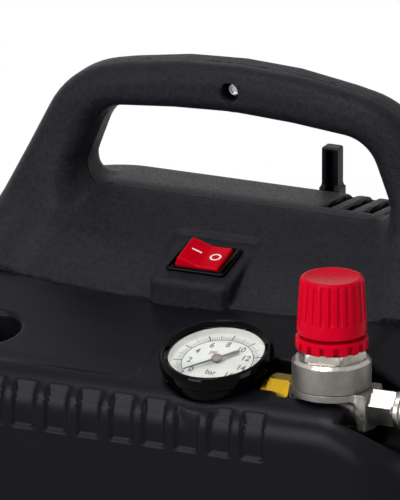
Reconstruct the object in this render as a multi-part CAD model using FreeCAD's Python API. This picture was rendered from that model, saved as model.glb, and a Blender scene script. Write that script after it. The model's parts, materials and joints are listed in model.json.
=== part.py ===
import FreeCAD, Part
import math
import os
from FreeCAD import Vector

# Portable oil-free air compressor.  Millimetres, +X right, +Y back, +Z up.
# The origin is the centre of the footprint on the floor.

# ---- housing
BODY_WIDTH = 310.0          # across the lower housing
BODY_DEPTH = 187.0          # front face to rear face, centred on the origin
BODY_CORNER = 36.0          # plan radius of the housing corners
WALL = 3.0                  # moulded wall of every shell
FOOT_HEIGHT = 12.0
FOOT_RADIUS = 14.0
FOOT_INSET_X = 40.0         # foot centre in from the side of the housing
FOOT_INSET_Y = 32.0         # foot centre in from the front and rear faces
BASE_THICKNESS = 5.0
FRONT_EDGE_DROP = 57.0      # edge of front face and top panel, below the lip
FRONT_EDGE_RADIUS = 13.0
PANEL_TILT = 15.3           # top panel, degrees up towards the back
SEAM_Y = -14.5              # seam between front cover and handle shell, at the middle
SEAM_RADIUS = 714.0         # the seam is an arc in plan
FACE_TILT = 37.0            # face behind the seam
SCOOP_FRONT_Y = 19.0        # where that face turns into the scoop
PARTING_Y = 43.5            # handle shell and rear shell meet here
LIP_DROP = 69.5             # lip of the hand opening, below the crown
LEDGE_TILT = 8.6            # rear ledge falls towards the back
CREST_RUN = 5.0             # lip to crest of the ledge
REAR_EDGE_RADIUS = 9.0
SHOULDER_DROP = 70.5        # housing sides are upright this far below the lip
SHOULDER_IN = 29.0          # top of the shoulder in from the side
SHOULDER_TOP_DROP = 16.0    # and below the lip
LEDGE_IN = 83.0             # level part of the ledge, in from the side
FACET_IN = 50.0             # crease of the side facets, in from the side
FACET_FALL = 0.5            # fall of a side facet for each millimetre outwards

# ---- carry handle
CROWN_Z = 330.0             # overall height
HANDLE_CORNER_IN = 66.7     # handle corner in from the side
CROWN_BOW = 3.907           # crown radius for each millimetre out to the corner
CROWN_PEAK = 0.0589         # meeting point of the crown's two tangents, the same way
CORNER_FALL = 0.1144        # corner below the crown, the same way
CORNER_ROUND = 0.51         # corner radius, the same way
LEG_FOOT_IN = 19.0
LEG_FOOT_DROP = 35.5        # below the lip
LEG_BELLY = 45.0            # front of the leg bends this far below the crown
LEG_BELLY_RADIUS = 60.0
BAR_FRONT_Y = 31.5
BAR_DEPTH = 28.0
BAR_HEIGHT = 24.5
BAR_EDGE_RADIUS = 10.0
OPENING_TOP_IN = 87.0       # hand opening in from the side, at its top,
OPENING_MID_IN = 74.5       # at its widest
OPENING_FOOT_IN = 76.0      # and at the lip
OPENING_MID_RISE = 10.5     # widest point above the lip
OPENING_TOP_RADIUS = 20.0
OPENING_FOOT_RADIUS = 7.5
OPENING_SIDE_RADIUS = 8.0
SCREW_WELL_RADIUS = 4.65
SCREW_WELL_DEPTH = 14.0

# ---- ledge louvres
LOUVRE_PITCH = 11.0
LOUVRE_WIDTH = 5.0
LOUVRE_COUNT = 4
LOUVRE_START_X = 42.0
LOUVRE_LENGTH = 38.0

# ---- vents, recesses and accessory cup
VENT_COUNT = 7
VENT_PITCH = 14.0
VENT_WIDTH = 5.0
VENT_LENGTH = 70.0
VENT_Z = 45.0
BAND_COUNT = 9
BAND_PITCH = 17.0
BAND_WIDTH = 11.0
BAND_DEPTH = 1.4
BAND_HEIGHT = 23.0
CUP_IN = 70.0               # cup centre in from the side
CUP_Y = -53.5
CUP_RADIUS = 13.0
CUP_RIM = 2.5
CUP_DEPTH = 52.0

# ---- switch
SWITCH_Y = 3.5
SWITCH_TILT = 15.0
SWITCH_LENGTH = 31.0        # bezel, along X
SWITCH_WIDTH = 25.0
BEZEL_HEIGHT = 2.0
BEZEL_RIM_X = 3.2
BEZEL_RIM_Y = 2.3
SWITCH_BODY_LENGTH = 27.6
SWITCH_BODY_WIDTH = 22.6
SWITCH_DEPTH = 20.0
SWITCH_WALL = 1.2
ROCKER_GAP = 0.7            # rocker to bezel, each side
ROCKER_TRAVEL = 20.0        # degrees between off and on
ROCKER_CREST = 3.0          # rocker ends above the bezel when level
ROCKER_DISH = 2.1           # middle of the rocker below its ends
ROCKER_LEAN = 1.2            # ends of the rocker slope in towards its top
ROCKER_PIN_RADIUS = 1.25
PAD_MARGIN_X = 5.5          # pedestal beyond the bezel
PAD_FRONT_Y = -16.5
PAD_RISE = 16.5             # pedestal top above the seam, under the middle of the switch
PAD_BACK_Y = 21.5

# ---- fits
RUNNING = 0.05              # radial clearance of a shaft or piston
FREE = 0.4                  # clearance where parts pass each other
SEAT = 0.3                  # clearance round a piece seated in a hole

# ---- pressure gauge
GAUGE_X = 37.5
GAUGE_Y = -63.2
GAUGE_CASE_RADIUS = 25.0
GAUGE_CASE_WALL = 1.4
GAUGE_CASE_DEPTH = 21.0     # below the panel
GAUGE_CASE_RISE = 4.5       # above the panel
GAUGE_BEZEL_RADIUS = 27.5
GAUGE_BEZEL_HEIGHT = 7.5
GAUGE_GLASS_RADIUS = 23.8
GAUGE_GLASS_THICKNESS = 1.0
GAUGE_DIAL_THICKNESS = 0.6
GAUGE_DIAL_LEVEL = 5.0      # dial face above the panel
POINTER_LENGTH = 17.0
POINTER_TAIL = 11.5
POINTER_LIFT = 1.2          # pointer above the dial
POINTER_ZERO = -135.0       # degrees from twelve o'clock, clockwise positive
GAUGE_PORT_DROP = 6.0       # side connection below the panel
GAUGE_PORT_RADIUS = 5.0
GAUGE_PORT_HEX = 15.0
BOURDON_RADIUS = 15.5
BOURDON_WIRE = 2.0

# ---- pressure regulator
REG_IN = 58.6               # regulator axis in from the side of the housing
REG_Y = -63.5
REG_BLOCK_RADIUS = 10.5     # port block under the drum
REG_LEFT = 18.4             # gauge port from the axis
INLET_RADIUS = 7.0          # inlet boss below the regulator
INLET_DROP = 14.0           # below the well floor
REG_FLANGE = 21.6           # face of the outlet flange from the axis
REG_FLANGE_THICKNESS = 4.0
REG_FLANGE_HALF = 10.5
DRUM_RADIUS = 19.0
DRUM_RISE = 8.0             # drum above the outlet axis
DRUM_SEAT = 3.5             # plate under the drum
DRUM_PORT_RADIUS = 7.0
DRUM_HEIGHT = 14.0
DRUM_WALL = 3.5
DRUM_CHAMFER = 1.6
DRUM_STEP = 2.3             # the spring chamber narrows by this under the hexagon
DRUM_STEP_DROP = 2.0        # and this far below the top of the drum
REG_HEX = 29.5
REG_HEX_HEIGHT = 4.5
REG_HEX_TURN = 6.0
REG_NECK_RADIUS = 9.0
REG_NECK_HEIGHT = 8.5
LOCK_RING_RADIUS = 17.3
LOCK_RING_HEIGHT = 6.0
LOCK_RING_GAP = 0.3         # ring above the hexagon
LOCK_NOTCHES = 12
KNOB_GAP = 1.5
KNOB_HEIGHT = 27.5
KNOB_RADIUS = 16.5
KNOB_TOP_RADIUS = 15.3
KNOB_BAND = 5.0             # plain band at the foot of the knob
KNOB_FLUTES = 24
KNOB_FLUTE_RADIUS = 1.1
KNOB_WALL = 2.2
KNOB_ROOF = 8.0             # solid top of the knob, over the spindle
KNOB_LIFT = 3.0             # the knob pulls up to unlock
SPINDLE_RADIUS = 4.0
SPINDLE_THREAD_PITCH = 1.0
SPINDLE_TURNS = 4.0
SPINDLE_COLLAR = 1.5
SPRING_SEAT_GAP = 3.0       # round the seat
SPRING_SEAT_THICKNESS = 2.0
REG_SPRING_RADIUS = 8.0
REG_SPRING_WIRE = 0.9
REG_SPRING_TURNS = 3.0
DIAPHRAGM_THICKNESS = 1.0
VALVE_STEM_RADIUS = 1.6
WELL_GAP = 6.0              # round the drum
WELL_FRONT = 12.5           # the panel reaches under the drum to here
WELL_SIDE = 14.0            # and the channel starts here
WELL_DROP = 21.0            # floor of the well below the outlet axis
CHANNEL_RADIUS = 22.0       # round the coupler
NECK_BACK = 16.0            # well between gauge and regulator, behind their axis

# ---- quick coupler
OUTLET_RISE = 1.5           # above the front edge
ADAPTER_HEX = 16.5
ADAPTER_TURN = 12.0
ADAPTER_LENGTH = 13.5
COUPLER_RADIUS = 9.5
COUPLER_LENGTH = 36.0
COUPLER_BORE = 5.4
SLEEVE_RADIUS = 12.2
SLEEVE_LENGTH = 22.0
SLEEVE_START = 4.0          # beyond the adapter
SLEEVE_TRAVEL = 4.0
SLEEVE_WALL = 1.7
SPRING_ROOM = 2.0           # between sleeve bore and coupler body
SLEEVE_SPRING_WIRE = 0.7    # radius
SLEEVE_SPRING_TURNS = 3.5
BALL_RADIUS = 1.5
BALL_COUNT = 6
BALL_SETBACK = 9.0          # from the mouth of the coupler
SOCKET_DEPTH = 16.0         # plug bore
VALVE_RADIUS = 4.6
VALVE_LENGTH = 6.0
VALVE_CHAMBER = 9.0         # start of the valve chamber beyond the adapter
O_RING_WIRE = 1.2

# ---- drive
MOTOR_X = -72.0
SHAFT_RISE = 0.3833         # shaft height for each millimetre of the front edge's height
STATOR_RADIUS = 39.0
STATOR_LENGTH = 46.0
STATOR_FRONT_Y = -32.0
AIR_GAP = 0.6
ROTOR_RADIUS = 22.0
MOTOR_SHAFT_RADIUS = 4.0
MOTOR_SHAFT_FRONT_Y = -73.0
BRACKET_THICKNESS = 5.0
BRACKET_GAP = 20.0          # from the stator to each bracket, for winding and brushes
WINDING_DEPTH = 7.0
COMMUTATOR_RADIUS = 11.0
COMMUTATOR_LENGTH = 13.0
FAN_RADIUS = 35.0
FAN_BLADES = 9
FAN_WIDTH = 10.0
MOTOR_PULLEY_RADIUS = 10.0
BELT_Y = 54.0
BELT_WIDTH = 9.0
BELT_THICKNESS = 2.6
PULLEY_FLANGE = 1.6
CRANK_X = 48.0
CRANK_PULLEY_RADIUS = 40.0
CRANK_SHAFT_RADIUS = 7.5
CRANK_DISC_RADIUS = 22.0
CRANK_DISC_THICKNESS = 8.0
CRANK_DISC_Y = 4.0
STROKE = 22.0
CRANK_PIN_RADIUS = 4.0
CRANK_PIN_LENGTH = 7.0
BEARING_WIDTH = 8.0
BEARING_WALL = 5.0
CRANKCASE_WALL = 6.0
CRANKCASE_HALF = 31.0
CRANKCASE_TOP_RISE = 34.0   # above the shaft
CRANKCASE_REAR_Y = 44.0
CRANKCASE_FRONT_Y = -24.0
CYLINDER_BORE = 20.0        # radius
CYLINDER_WALL = 3.0
HEAD_DROP = 47.5            # top of the cylinder below the front edge
FIN_COUNT = 6
FIN_REACH = 9.0
FIN_THICKNESS = 1.6
PISTON_HEIGHT = 9.0
CUP_SEAL_THICKNESS = 1.2
PISTON_TOP_GAP = 1.0
ROD_EYE_RADIUS = 9.0
ROD_THICKNESS = 8.0
ROD_GAP = 1.0               # crank pin to rod, along the shaft
VALVE_PLATE_THICKNESS = 4.0
HEAD_HEIGHT = 20.0
PORT_RISE = 6.0             # side ports above the valve plate
TUBE_RADIUS = 4.0           # air pipe to the regulator
TUBE_BEND = 8.0
HEAD_HALF = 27.0
HEAD_BOLT_RADIUS = 2.5
HEAD_BOLT_INSET = 5.5

# ---- hooks, gland and fasteners
HOOK_X = 20.5
HOOK_WIDTH = 8.6
HOOK_REACH = 19.0
HOOK_THICKNESS = 2.2
HOOK_DEPTH = 7.0            # of the channel section
HOOK_PLATE = 2.5            # thickness of the screwed foot
HOOK_HEIGHT = 29.0
HOOK_ARM_DROP = 10.5        # below the lip
LOWER_HOOK_Z = 62.0
CENTRE_STUD_RADIUS = 3.0    # moulded stud of the centre foot
SAFETY_RADIUS = 4.5         # spigot of the relief valve
SAFETY_SPIGOT = 6.0
GLAND_X = -100.0
GLAND_Z = 50.0
GLAND_RADIUS = 9.0
GLAND_BORE = 4.0
GLAND_LENGTH = 16.0
SCREW_RADIUS = 1.9
SCREW_HEAD_RADIUS = 3.8
SCREW_HEAD_HEIGHT = 2.8
BOSS_RADIUS = 5.0
HOUSING_SCREW_LENGTH = 22.0
BASE_SCREW_LENGTH = 14.0
FOOT_SCREW_LENGTH = 10.0

# ---- worked out from the sizes above
HALF_W = BODY_WIDTH / 2.0
HALF_D = BODY_DEPTH / 2.0
BASE_TOP = FOOT_HEIGHT + BASE_THICKNESS
PANEL_SLOPE = math.tan(math.radians(PANEL_TILT))
FACE_SLOPE = math.tan(math.radians(FACE_TILT))
LIP_Z = CROWN_Z - LIP_DROP
FRONT_EDGE_Z = LIP_Z - FRONT_EDGE_DROP
SHOULDER_Z = LIP_Z - SHOULDER_DROP
SHOULDER_X = HALF_W - SHOULDER_IN
SHOULDER_TOP_Z = LIP_Z - SHOULDER_TOP_DROP
LEDGE_HALF = HALF_W - LEDGE_IN
CREASE_X = HALF_W - FACET_IN
HANDLE_CORNER_X = HALF_W - HANDLE_CORNER_IN
CROWN_RADIUS = HANDLE_CORNER_X * CROWN_BOW
CROWN_TANGENT_Z = CROWN_Z + HANDLE_CORNER_X * CROWN_PEAK
HANDLE_CORNER_Z = CROWN_Z - HANDLE_CORNER_X * CORNER_FALL
HANDLE_CORNER_RADIUS = HANDLE_CORNER_X * CORNER_ROUND
LEG_FOOT_X = HALF_W - LEG_FOOT_IN
LEG_FOOT_Z = LIP_Z - LEG_FOOT_DROP
OPENING_TOP_HALF = HALF_W - OPENING_TOP_IN
OPENING_MID_HALF = HALF_W - OPENING_MID_IN
OPENING_FOOT_HALF = HALF_W - OPENING_FOOT_IN
OPENING_MID_Z = LIP_Z + OPENING_MID_RISE
CUP_X = CUP_IN - HALF_W
REG_X = HALF_W - REG_IN
REG_LEFT_X = REG_X - REG_LEFT
REG_FLANGE_X = REG_X + REG_FLANGE
OUTLET_Z = FRONT_EDGE_Z + OUTLET_RISE
DRUM_BASE_Z = OUTLET_Z + DRUM_RISE
WELL_FLOOR_Z = OUTLET_Z - WELL_DROP
SHAFT_Z = FRONT_EDGE_Z * SHAFT_RISE
CRANKCASE_TOP_Z = SHAFT_Z + CRANKCASE_TOP_RISE
HEAD_PLATE_Z = FRONT_EDGE_Z - HEAD_DROP
CYLINDER_HEIGHT = HEAD_PLATE_Z - CRANKCASE_TOP_Z
HOOK_ARM_Z = LIP_Z - HOOK_ARM_DROP
SEAM_Z = FRONT_EDGE_Z + (SEAM_Y + HALF_D) * PANEL_SLOPE
SCOOP_FRONT_Z = SEAM_Z + (SCOOP_FRONT_Y - SEAM_Y) * FACE_SLOPE
CREST_Y = PARTING_Y + CREST_RUN
CREST_Z = LIP_Z + CREST_RUN * 0.4
REAR_TOP_Z = CREST_Z - (HALF_D - CREST_Y) * math.tan(math.radians(LEDGE_TILT))
BAR_MIDDLE_Z = CROWN_Z - BAR_HEIGHT / 2.0
PAD_CENTRE_Z = SEAM_Z + PAD_RISE
PAD_HALF = SWITCH_LENGTH / 2.0 + PAD_MARGIN_X
PAD_SLOPE = math.tan(math.radians(SWITCH_TILT))
GAUGE_Z = FRONT_EDGE_Z + (GAUGE_Y + HALF_D) * PANEL_SLOPE
DRUM_TOP_Z = DRUM_BASE_Z + DRUM_HEIGHT
REG_HEX_TOP_Z = DRUM_TOP_Z + REG_HEX_HEIGHT
RING_BASE_Z = REG_HEX_TOP_Z + LOCK_RING_GAP
KNOB_BASE_Z = RING_BASE_Z + LOCK_RING_HEIGHT + KNOB_GAP
KNOB_TOP_Z = KNOB_BASE_Z + KNOB_HEIGHT
NECK_TOP_Z = REG_HEX_TOP_Z + REG_NECK_HEIGHT
CAVITY_TOP_Z = DRUM_TOP_Z + 1.0
COLLAR_TOP_Z = CAVITY_TOP_Z - 0.1
SEAT_TOP_Z = COLLAR_TOP_Z - SPINDLE_COLLAR - 0.1
SPRING_TRAVEL = SPINDLE_TURNS * SPINDLE_THREAD_PITCH
COUPLER_CORE = SLEEVE_RADIUS - SLEEVE_WALL - SPRING_ROOM
ADAPTER_END_X = REG_FLANGE_X + ADAPTER_LENGTH
SLEEVE_X = ADAPTER_END_X + SLEEVE_START
COUPLER_END_X = ADAPTER_END_X + COUPLER_LENGTH
CRANK_THROW = STROKE / 2.0
STATOR_REAR_Y = STATOR_FRONT_Y + STATOR_LENGTH
FRONT_BRACKET_Y = STATOR_FRONT_Y - BRACKET_GAP
REAR_BRACKET_Y = STATOR_REAR_Y + BRACKET_GAP
PISTON_AXIS_Y = CRANK_DISC_Y - CRANK_PIN_LENGTH - ROD_GAP - ROD_THICKNESS / 2.0
PISTON_TOP_Z = HEAD_PLATE_Z - PISTON_TOP_GAP
PISTON_REST_Z = PISTON_TOP_Z - PISTON_HEIGHT

X_AXIS = Vector(1, 0, 0)
Y_AXIS = Vector(0, 1, 0)
Z_AXIS = Vector(0, 0, 1)


# ---- building blocks
def box(x0, x1, y0, y1, z0, z1):
    """A box between two corners."""
    return Part.makeBox(x1 - x0, y1 - y0, z1 - z0, Vector(x0, y0, z0))


def rod(radius, start, axis, length):
    """A round bar from a start point along an axis."""
    return Part.makeCylinder(radius, length, Vector(*start), axis)


def pipe(outer, inner, start, axis, length):
    """A round tube."""
    return rod(outer, start, axis, length).cut(rod(inner, start, axis, length))


def hexagon(across_flats, start, axis, length, turn=0.0):
    """A hexagonal bar, turned about its own axis."""
    reach = across_flats / math.sqrt(3.0)
    corners = []
    for step in range(7):
        angle = math.radians(60.0 * step + turn)
        corners.append(Vector(reach * math.cos(angle), reach * math.sin(angle), 0))
    bar = Part.Face(Part.makePolygon(corners)).extrude(Vector(0, 0, length))
    bar.Placement = FreeCAD.Placement(Vector(*start), FreeCAD.Rotation(Z_AXIS, axis))
    return bar


def rounded_wire(points, radii):
    """A closed outline through 3-D corner points, each rounded by an arc."""
    arcs = []
    count = len(points)
    for index in range(count):
        corner = points[index]
        back = (points[index - 1] - corner).normalize()
        ahead = (points[(index + 1) % count] - corner).normalize()
        half = back.getAngle(ahead) / 2.0
        reach = radii[index] / math.tan(half)
        inward = (back + ahead).normalize()
        depth = radii[index] / math.sin(half) - radii[index]
        arcs.append((corner + back * reach, corner + inward * depth, corner + ahead * reach))
    edges = []
    for index in range(count):
        start, middle, end = arcs[index]
        following = arcs[(index + 1) % count][0]
        if radii[index] > 0:
            edges.append(Part.Arc(start, middle, end).toShape())
        if (following - end).Length > 1e-5:
            edges.append(Part.LineSegment(end, following).toShape())
    return Part.Wire(edges)


def prism_y(outline, y0, y1, inset=0.0):
    """A prism along Y from (x, z, corner radius) points, shrunk by an inset."""
    points = [Vector(x, y0, z) for x, z, _ in outline]
    return prism(points, [radius for _, _, radius in outline], Vector(0, y1 - y0, 0), inset)


def prism_x(outline, x0, x1, inset=0.0):
    """A prism along X from (y, z, corner radius) points, shrunk by an inset."""
    points = [Vector(x0, y, z) for y, z, _ in outline]
    return prism(points, [radius for _, _, radius in outline], Vector(x1 - x0, 0, 0), inset)


def moved_in(points, radii, inset):
    """The same outline with every side moved inwards and its rounding kept concentric."""
    normal = Vector(0, 0, 0)
    for index, point in enumerate(points):
        normal += points[index - 1].cross(point)
    normal.normalize()
    moved = []
    rounding = []
    for index, point in enumerate(points):
        arriving = (point - points[index - 1]).normalize()
        leaving = (points[(index + 1) % len(points)] - point).normalize()
        across_in = normal.cross(arriving)
        across_out = normal.cross(leaving)
        moved.append(point + (across_in + across_out) * (inset / (1.0 + across_in.dot(across_out))))
        convex = arriving.cross(leaving).dot(normal) > 0
        radius = radii[index] - inset if convex else radii[index] + inset
        rounding.append(max(radius, 0.0) if radii[index] > 0 else 0.0)
    return moved, rounding


def prism(points, radii, run, inset=0.0):
    """Extrude a rounded outline; a positive inset moves every side inwards."""
    moved, rounding = moved_in(points, radii, inset)
    return Part.Face(rounded_wire(moved, rounding)).extrude(run)


def plan_block(half_x, half_y, corner, z0, z1):
    """A block with rounded corners in plan, centred on the origin."""
    points = [Vector(-half_x, -half_y, z0), Vector(half_x, -half_y, z0),
              Vector(half_x, half_y, z0), Vector(-half_x, half_y, z0)]
    return prism(points, [corner] * 4, Vector(0, 0, z1 - z0))


def mirrored(points):
    """An outline given by its right half, top to bottom, completed on the left."""
    return points + [(-x, z, radius) for x, z, radius in reversed(points)]


def turned(profile, start, axis):
    """A solid of revolution from (radius, height) points, standing along an axis."""
    points = [Vector(radius, 0, height) for radius, height in profile]
    face = Part.Face(Part.makePolygon(points + [points[0]]))
    solid = face.revolve(Vector(0, 0, 0), Z_AXIS, 360)
    solid.Placement = FreeCAD.Placement(Vector(*start), FreeCAD.Rotation(Z_AXIS, axis))
    return solid


def fused(shapes):
    """One solid from several that touch or overlap."""
    first = shapes[0]
    return first.fuse(shapes[1:]).removeSplitter() if len(shapes) > 1 else first


def on_plane(shape, x, y, z, tilt):
    """Tilt a shape built flat about the origin and carry it to its place."""
    copy = shape.copy()
    copy.rotate(Vector(0, 0, 0), X_AXIS, tilt)
    copy.translate(Vector(x, y, z))
    return copy


def screw(start, axis, length, radius=SCREW_RADIUS, head=SCREW_HEAD_RADIUS):
    """A pan head screw: the head's underside is at the start point."""
    shank = rod(radius, start, axis, length)
    cap = rod(head, start, axis * -1, SCREW_HEAD_HEIGHT)
    cap = cap.makeChamfer(0.8, [edge for edge in cap.Edges if edge.Closed][:1])
    slot_at = Vector(*start) - axis * (SCREW_HEAD_HEIGHT - 1.2)
    socket = hexagon(head, tuple(slot_at), axis * -1, 4.0)
    return cap.fuse(shank).cut(socket)


# ---- housing forms
def side_outline():
    """Housing seen from the side, as (y, z, radius)."""
    return [(-HALF_D, -60.0, 0.0), (HALF_D, -60.0, 0.0),
            (HALF_D, REAR_TOP_Z, REAR_EDGE_RADIUS), (CREST_Y, CREST_Z, 4.0),
            (PARTING_Y, LIP_Z, 0.0), (SCOOP_FRONT_Y, SCOOP_FRONT_Z, 12.0),
            (SEAM_Y, SEAM_Z, 4.0), (-HALF_D, FRONT_EDGE_Z, FRONT_EDGE_RADIUS)]


def front_outline():
    """Housing seen from the front, as (x, z, radius)."""
    return mirrored([(LEDGE_HALF, CREST_Z, 30.0), (SHOULDER_X, SHOULDER_TOP_Z, 20.0),
                     (HALF_W, SHOULDER_Z, 30.0), (HALF_W, -60.0, 0.0)])


def body_form(inset):
    """The housing below the handle, as a closed solid."""
    side = prism_x(side_outline(), -HALF_W, HALF_W, inset)
    front = prism_y(front_outline(), -HALF_D, HALF_D, inset)
    plan = plan_block(HALF_W - inset, HALF_D - inset, BODY_CORNER - inset, -60.0, CROWN_Z)
    form = side.common(front).common(plan)
    for hand in (-1, 1):
        form = form.cut(facet_block(hand, -HALF_D - 1.0, FRONT_EDGE_Z - PANEL_SLOPE, SEAM_Y,
                                    PANEL_SLOPE, inset))
        form = form.cut(facet_block(hand, SEAM_Y, SEAM_Z, SCOOP_FRONT_Y, FACE_SLOPE, inset))
    return form


def facet_block(hand, y0, z0, y1, slope, inset):
    """What is cleared over a side facet, which falls outwards from its crease."""
    sink = inset * math.sqrt(1.0 + slope * slope + FACET_FALL * FACET_FALL)
    inner = CREASE_X - 15.0
    outer = HALF_W + 5.0
    inner_z = z0 - (inner - CREASE_X) * FACET_FALL - sink
    outer_z = z0 - (outer - CREASE_X) * FACET_FALL - sink
    outline = [Vector(hand * inner, y0, inner_z), Vector(hand * outer, y0, outer_z),
               Vector(hand * outer, y0, CROWN_Z), Vector(hand * inner, y0, CROWN_Z)]
    face = Part.Face(Part.makePolygon(outline + [outline[0]]))
    return face.extrude(Vector(0, y1 - y0, (y1 - y0) * slope))


def arch_outline():
    """The handle seen from the front: crown, corners and leaning legs."""
    corner_z = HANDLE_CORNER_Z
    lean = (LEG_FOOT_X - HANDLE_CORNER_X) / (corner_z - LEG_FOOT_Z)
    foot_z = SHOULDER_Z - 20.0
    foot_x = LEG_FOOT_X + (LEG_FOOT_Z - foot_z) * lean
    return [(0.0, CROWN_TANGENT_Z, CROWN_RADIUS), (HANDLE_CORNER_X, corner_z, HANDLE_CORNER_RADIUS),
            (foot_x, foot_z, 0.0), (-foot_x, foot_z, 0.0),
            (-HANDLE_CORNER_X, corner_z, HANDLE_CORNER_RADIUS)]


def leg_outline():
    """The handle seen from the side: round bar on top, flaring foot in front."""
    rear = BAR_FRONT_Y + BAR_DEPTH
    return [(rear, LEG_FOOT_Z, 0.0), (rear, CROWN_Z, BAR_EDGE_RADIUS),
            (BAR_FRONT_Y, CROWN_Z, BAR_EDGE_RADIUS), (BAR_FRONT_Y, CROWN_Z - LEG_BELLY, LEG_BELLY_RADIUS),
            (SCOOP_FRONT_Y + 2.0, SCOOP_FRONT_Z + 2.0, 12.0), (SEAM_Y, SEAM_Z, 0.0),
            (SEAM_Y, LEG_FOOT_Z - 8.0, 0.0), (rear, LEG_FOOT_Z - 8.0, 0.0)][1:]


def opening_outline():
    """The hand opening seen from the front."""
    top = CROWN_Z - BAR_HEIGHT
    return mirrored([(OPENING_TOP_HALF, top - 2.0, OPENING_TOP_RADIUS),
                     (OPENING_MID_HALF, OPENING_MID_Z, OPENING_SIDE_RADIUS),
                     (OPENING_FOOT_HALF, LIP_Z, OPENING_FOOT_RADIUS)])


def opening_form(inset):
    """The space cut for the hand: straight through, and sloping with scoop and ledge."""
    outline = opening_outline()
    through = prism_y(outline, -HALF_D, HALF_D, inset)
    low = box(-HALF_W, HALF_W, -HALF_D, HALF_D, LIP_Z + 2.0, CROWN_Z)
    forward = PARTING_Y - SCOOP_FRONT_Y + 30.0
    drop = (LIP_Z - SCOOP_FRONT_Z) / (PARTING_Y - SCOOP_FRONT_Y)
    points = [Vector(x, PARTING_Y, z) for x, z, _ in outline]
    radii = [radius for _, _, radius in outline]
    scoop = prism(points, radii, Vector(0, -forward, -forward * drop), inset)
    return through.common(low).fuse(scoop)


def handle_form(inset):
    """The carry handle as a closed solid, legs and bar."""
    arch = prism_y(arch_outline(), -HALF_D, HALF_D, inset)
    side = prism_x(leg_outline(), -HALF_W, HALF_W, inset)
    return arch.common(side).cut(opening_form(-inset))


def outer_form():
    """The whole housing outside, with the switch pedestal."""
    form = body_form(0.0).cut(opening_form(0.0)).fuse(handle_form(0.0))
    keep = box(-HALF_W, HALF_W, -HALF_D, HALF_D, BASE_TOP, CROWN_Z + 1.0)
    return form.cut(pocket_block(0.0)).fuse(pedestal(0.0)).common(keep)


def inner_form():
    """The space inside the housing walls."""
    form = body_form(WALL).fuse(handle_form(WALL))
    return form.cut(pocket_block(WALL)).fuse(pedestal(WALL))


def pad_z(y):
    """Height of the pedestal top at a depth."""
    return PAD_CENTRE_Z + (y - SWITCH_Y) * PAD_SLOPE


def pedestal(inset):
    """The block under the switch, its top tilted forward."""
    foot = SEAM_Z - 12.0
    outline = [Vector(0, PAD_FRONT_Y + inset, foot), Vector(0, PAD_BACK_Y, foot),
               Vector(0, PAD_BACK_Y, pad_z(PAD_BACK_Y) - inset),
               Vector(0, PAD_FRONT_Y + inset, pad_z(PAD_FRONT_Y + inset) - inset)]
    half = PAD_HALF - inset
    face = Part.Face(Part.makePolygon(outline + [outline[0]]))
    face.translate(Vector(-half, 0, 0))
    return face.extrude(Vector(2.0 * half, 0, 0))


def pocket_block(inset):
    """What is cleared above the pedestal, back to the pocket's rear wall."""
    high = SCOOP_FRONT_Z + 20.0
    back = PAD_BACK_Y + inset
    outline = [Vector(0, SEAM_Y, pad_z(SEAM_Y) - inset), Vector(0, back, pad_z(back) - inset),
               Vector(0, back, high), Vector(0, SEAM_Y, high)]
    half = PAD_HALF + inset
    face = Part.Face(Part.makePolygon(outline + [outline[0]]))
    face.translate(Vector(-half, 0, 0))
    return face.extrude(Vector(2.0 * half, 0, 0))


def behind_seam():
    """The space behind the front cover's seam, and under the switch pedestal."""
    drum = rod(SEAM_RADIUS, (0, SEAM_Y + SEAM_RADIUS, -100), Z_AXIS, CROWN_Z + 200.0)
    pad = box(-PAD_HALF, PAD_HALF, PAD_FRONT_Y, SEAM_Y + 20.0, SEAM_Z - 12.0, CROWN_Z)
    return drum.fuse(pad)


def behind_parting():
    """The space behind the handle's parting plane."""
    return box(-HALF_W - 5, HALF_W + 5, PARTING_Y, HALF_D + 5, -100, CROWN_Z + 50)


# ---- openings in the shells
def rear_screw_places():
    """Where screws join the rear shell to the handle shell."""
    low = BASE_TOP + 28.0
    high = SHOULDER_Z - 15.0
    side = HALF_W - BODY_CORNER + BOSS_RADIUS
    return [(-side, low), (side, low), (-side, high), (side, high)]


def base_screw_places():
    """Where screws join the base plate to front cover and rear shell."""
    across = HALF_W - BODY_CORNER - 20.0
    deep = HALF_D - WALL - BOSS_RADIUS
    return [(x, y) for x in (-across, 0.0, across) for y in (-deep, deep)]


def gauge_hole():
    """Round hole in the panel for the gauge case."""
    hole = rod(GAUGE_CASE_RADIUS + SEAT, (0, 0, -30), Z_AXIS, 60)
    return on_plane(hole, GAUGE_X, GAUGE_Y, GAUGE_Z, PANEL_TILT)


def regulator_well(extra):
    """The well round the regulator, its neck to the gauge and the trough of the coupler."""
    floor = WELL_FLOOR_Z - extra
    high = CROWN_Z - floor
    well = rod(DRUM_RADIUS + WELL_GAP + extra, (REG_X, REG_Y, floor), Z_AXIS, high)
    well = well.cut(box(0, REG_X + WELL_SIDE - extra, -HALF_D, REG_Y - WELL_FRONT - extra, floor,
                        CROWN_Z))
    radius = CHANNEL_RADIUS + extra
    start = REG_X + WELL_SIDE - extra
    trough = rod(radius, (start, REG_Y, OUTLET_Z), X_AXIS, HALF_W - REG_X)
    above = box(start, start + HALF_W - REG_X, REG_Y - radius, REG_Y + radius, OUTLET_Z, CROWN_Z)
    neck_reach = GAUGE_PORT_HEX / 2.0 + 2.0 + extra
    neck = box(GAUGE_X + GAUGE_CASE_RADIUS - 4.0, REG_X, REG_Y - neck_reach,
               REG_Y + NECK_BACK + extra, PORT_Z - GAUGE_PORT_HEX / 2.0 - 3.0 - extra, CROWN_Z)
    return fused([well, trough, above, neck])


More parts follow.
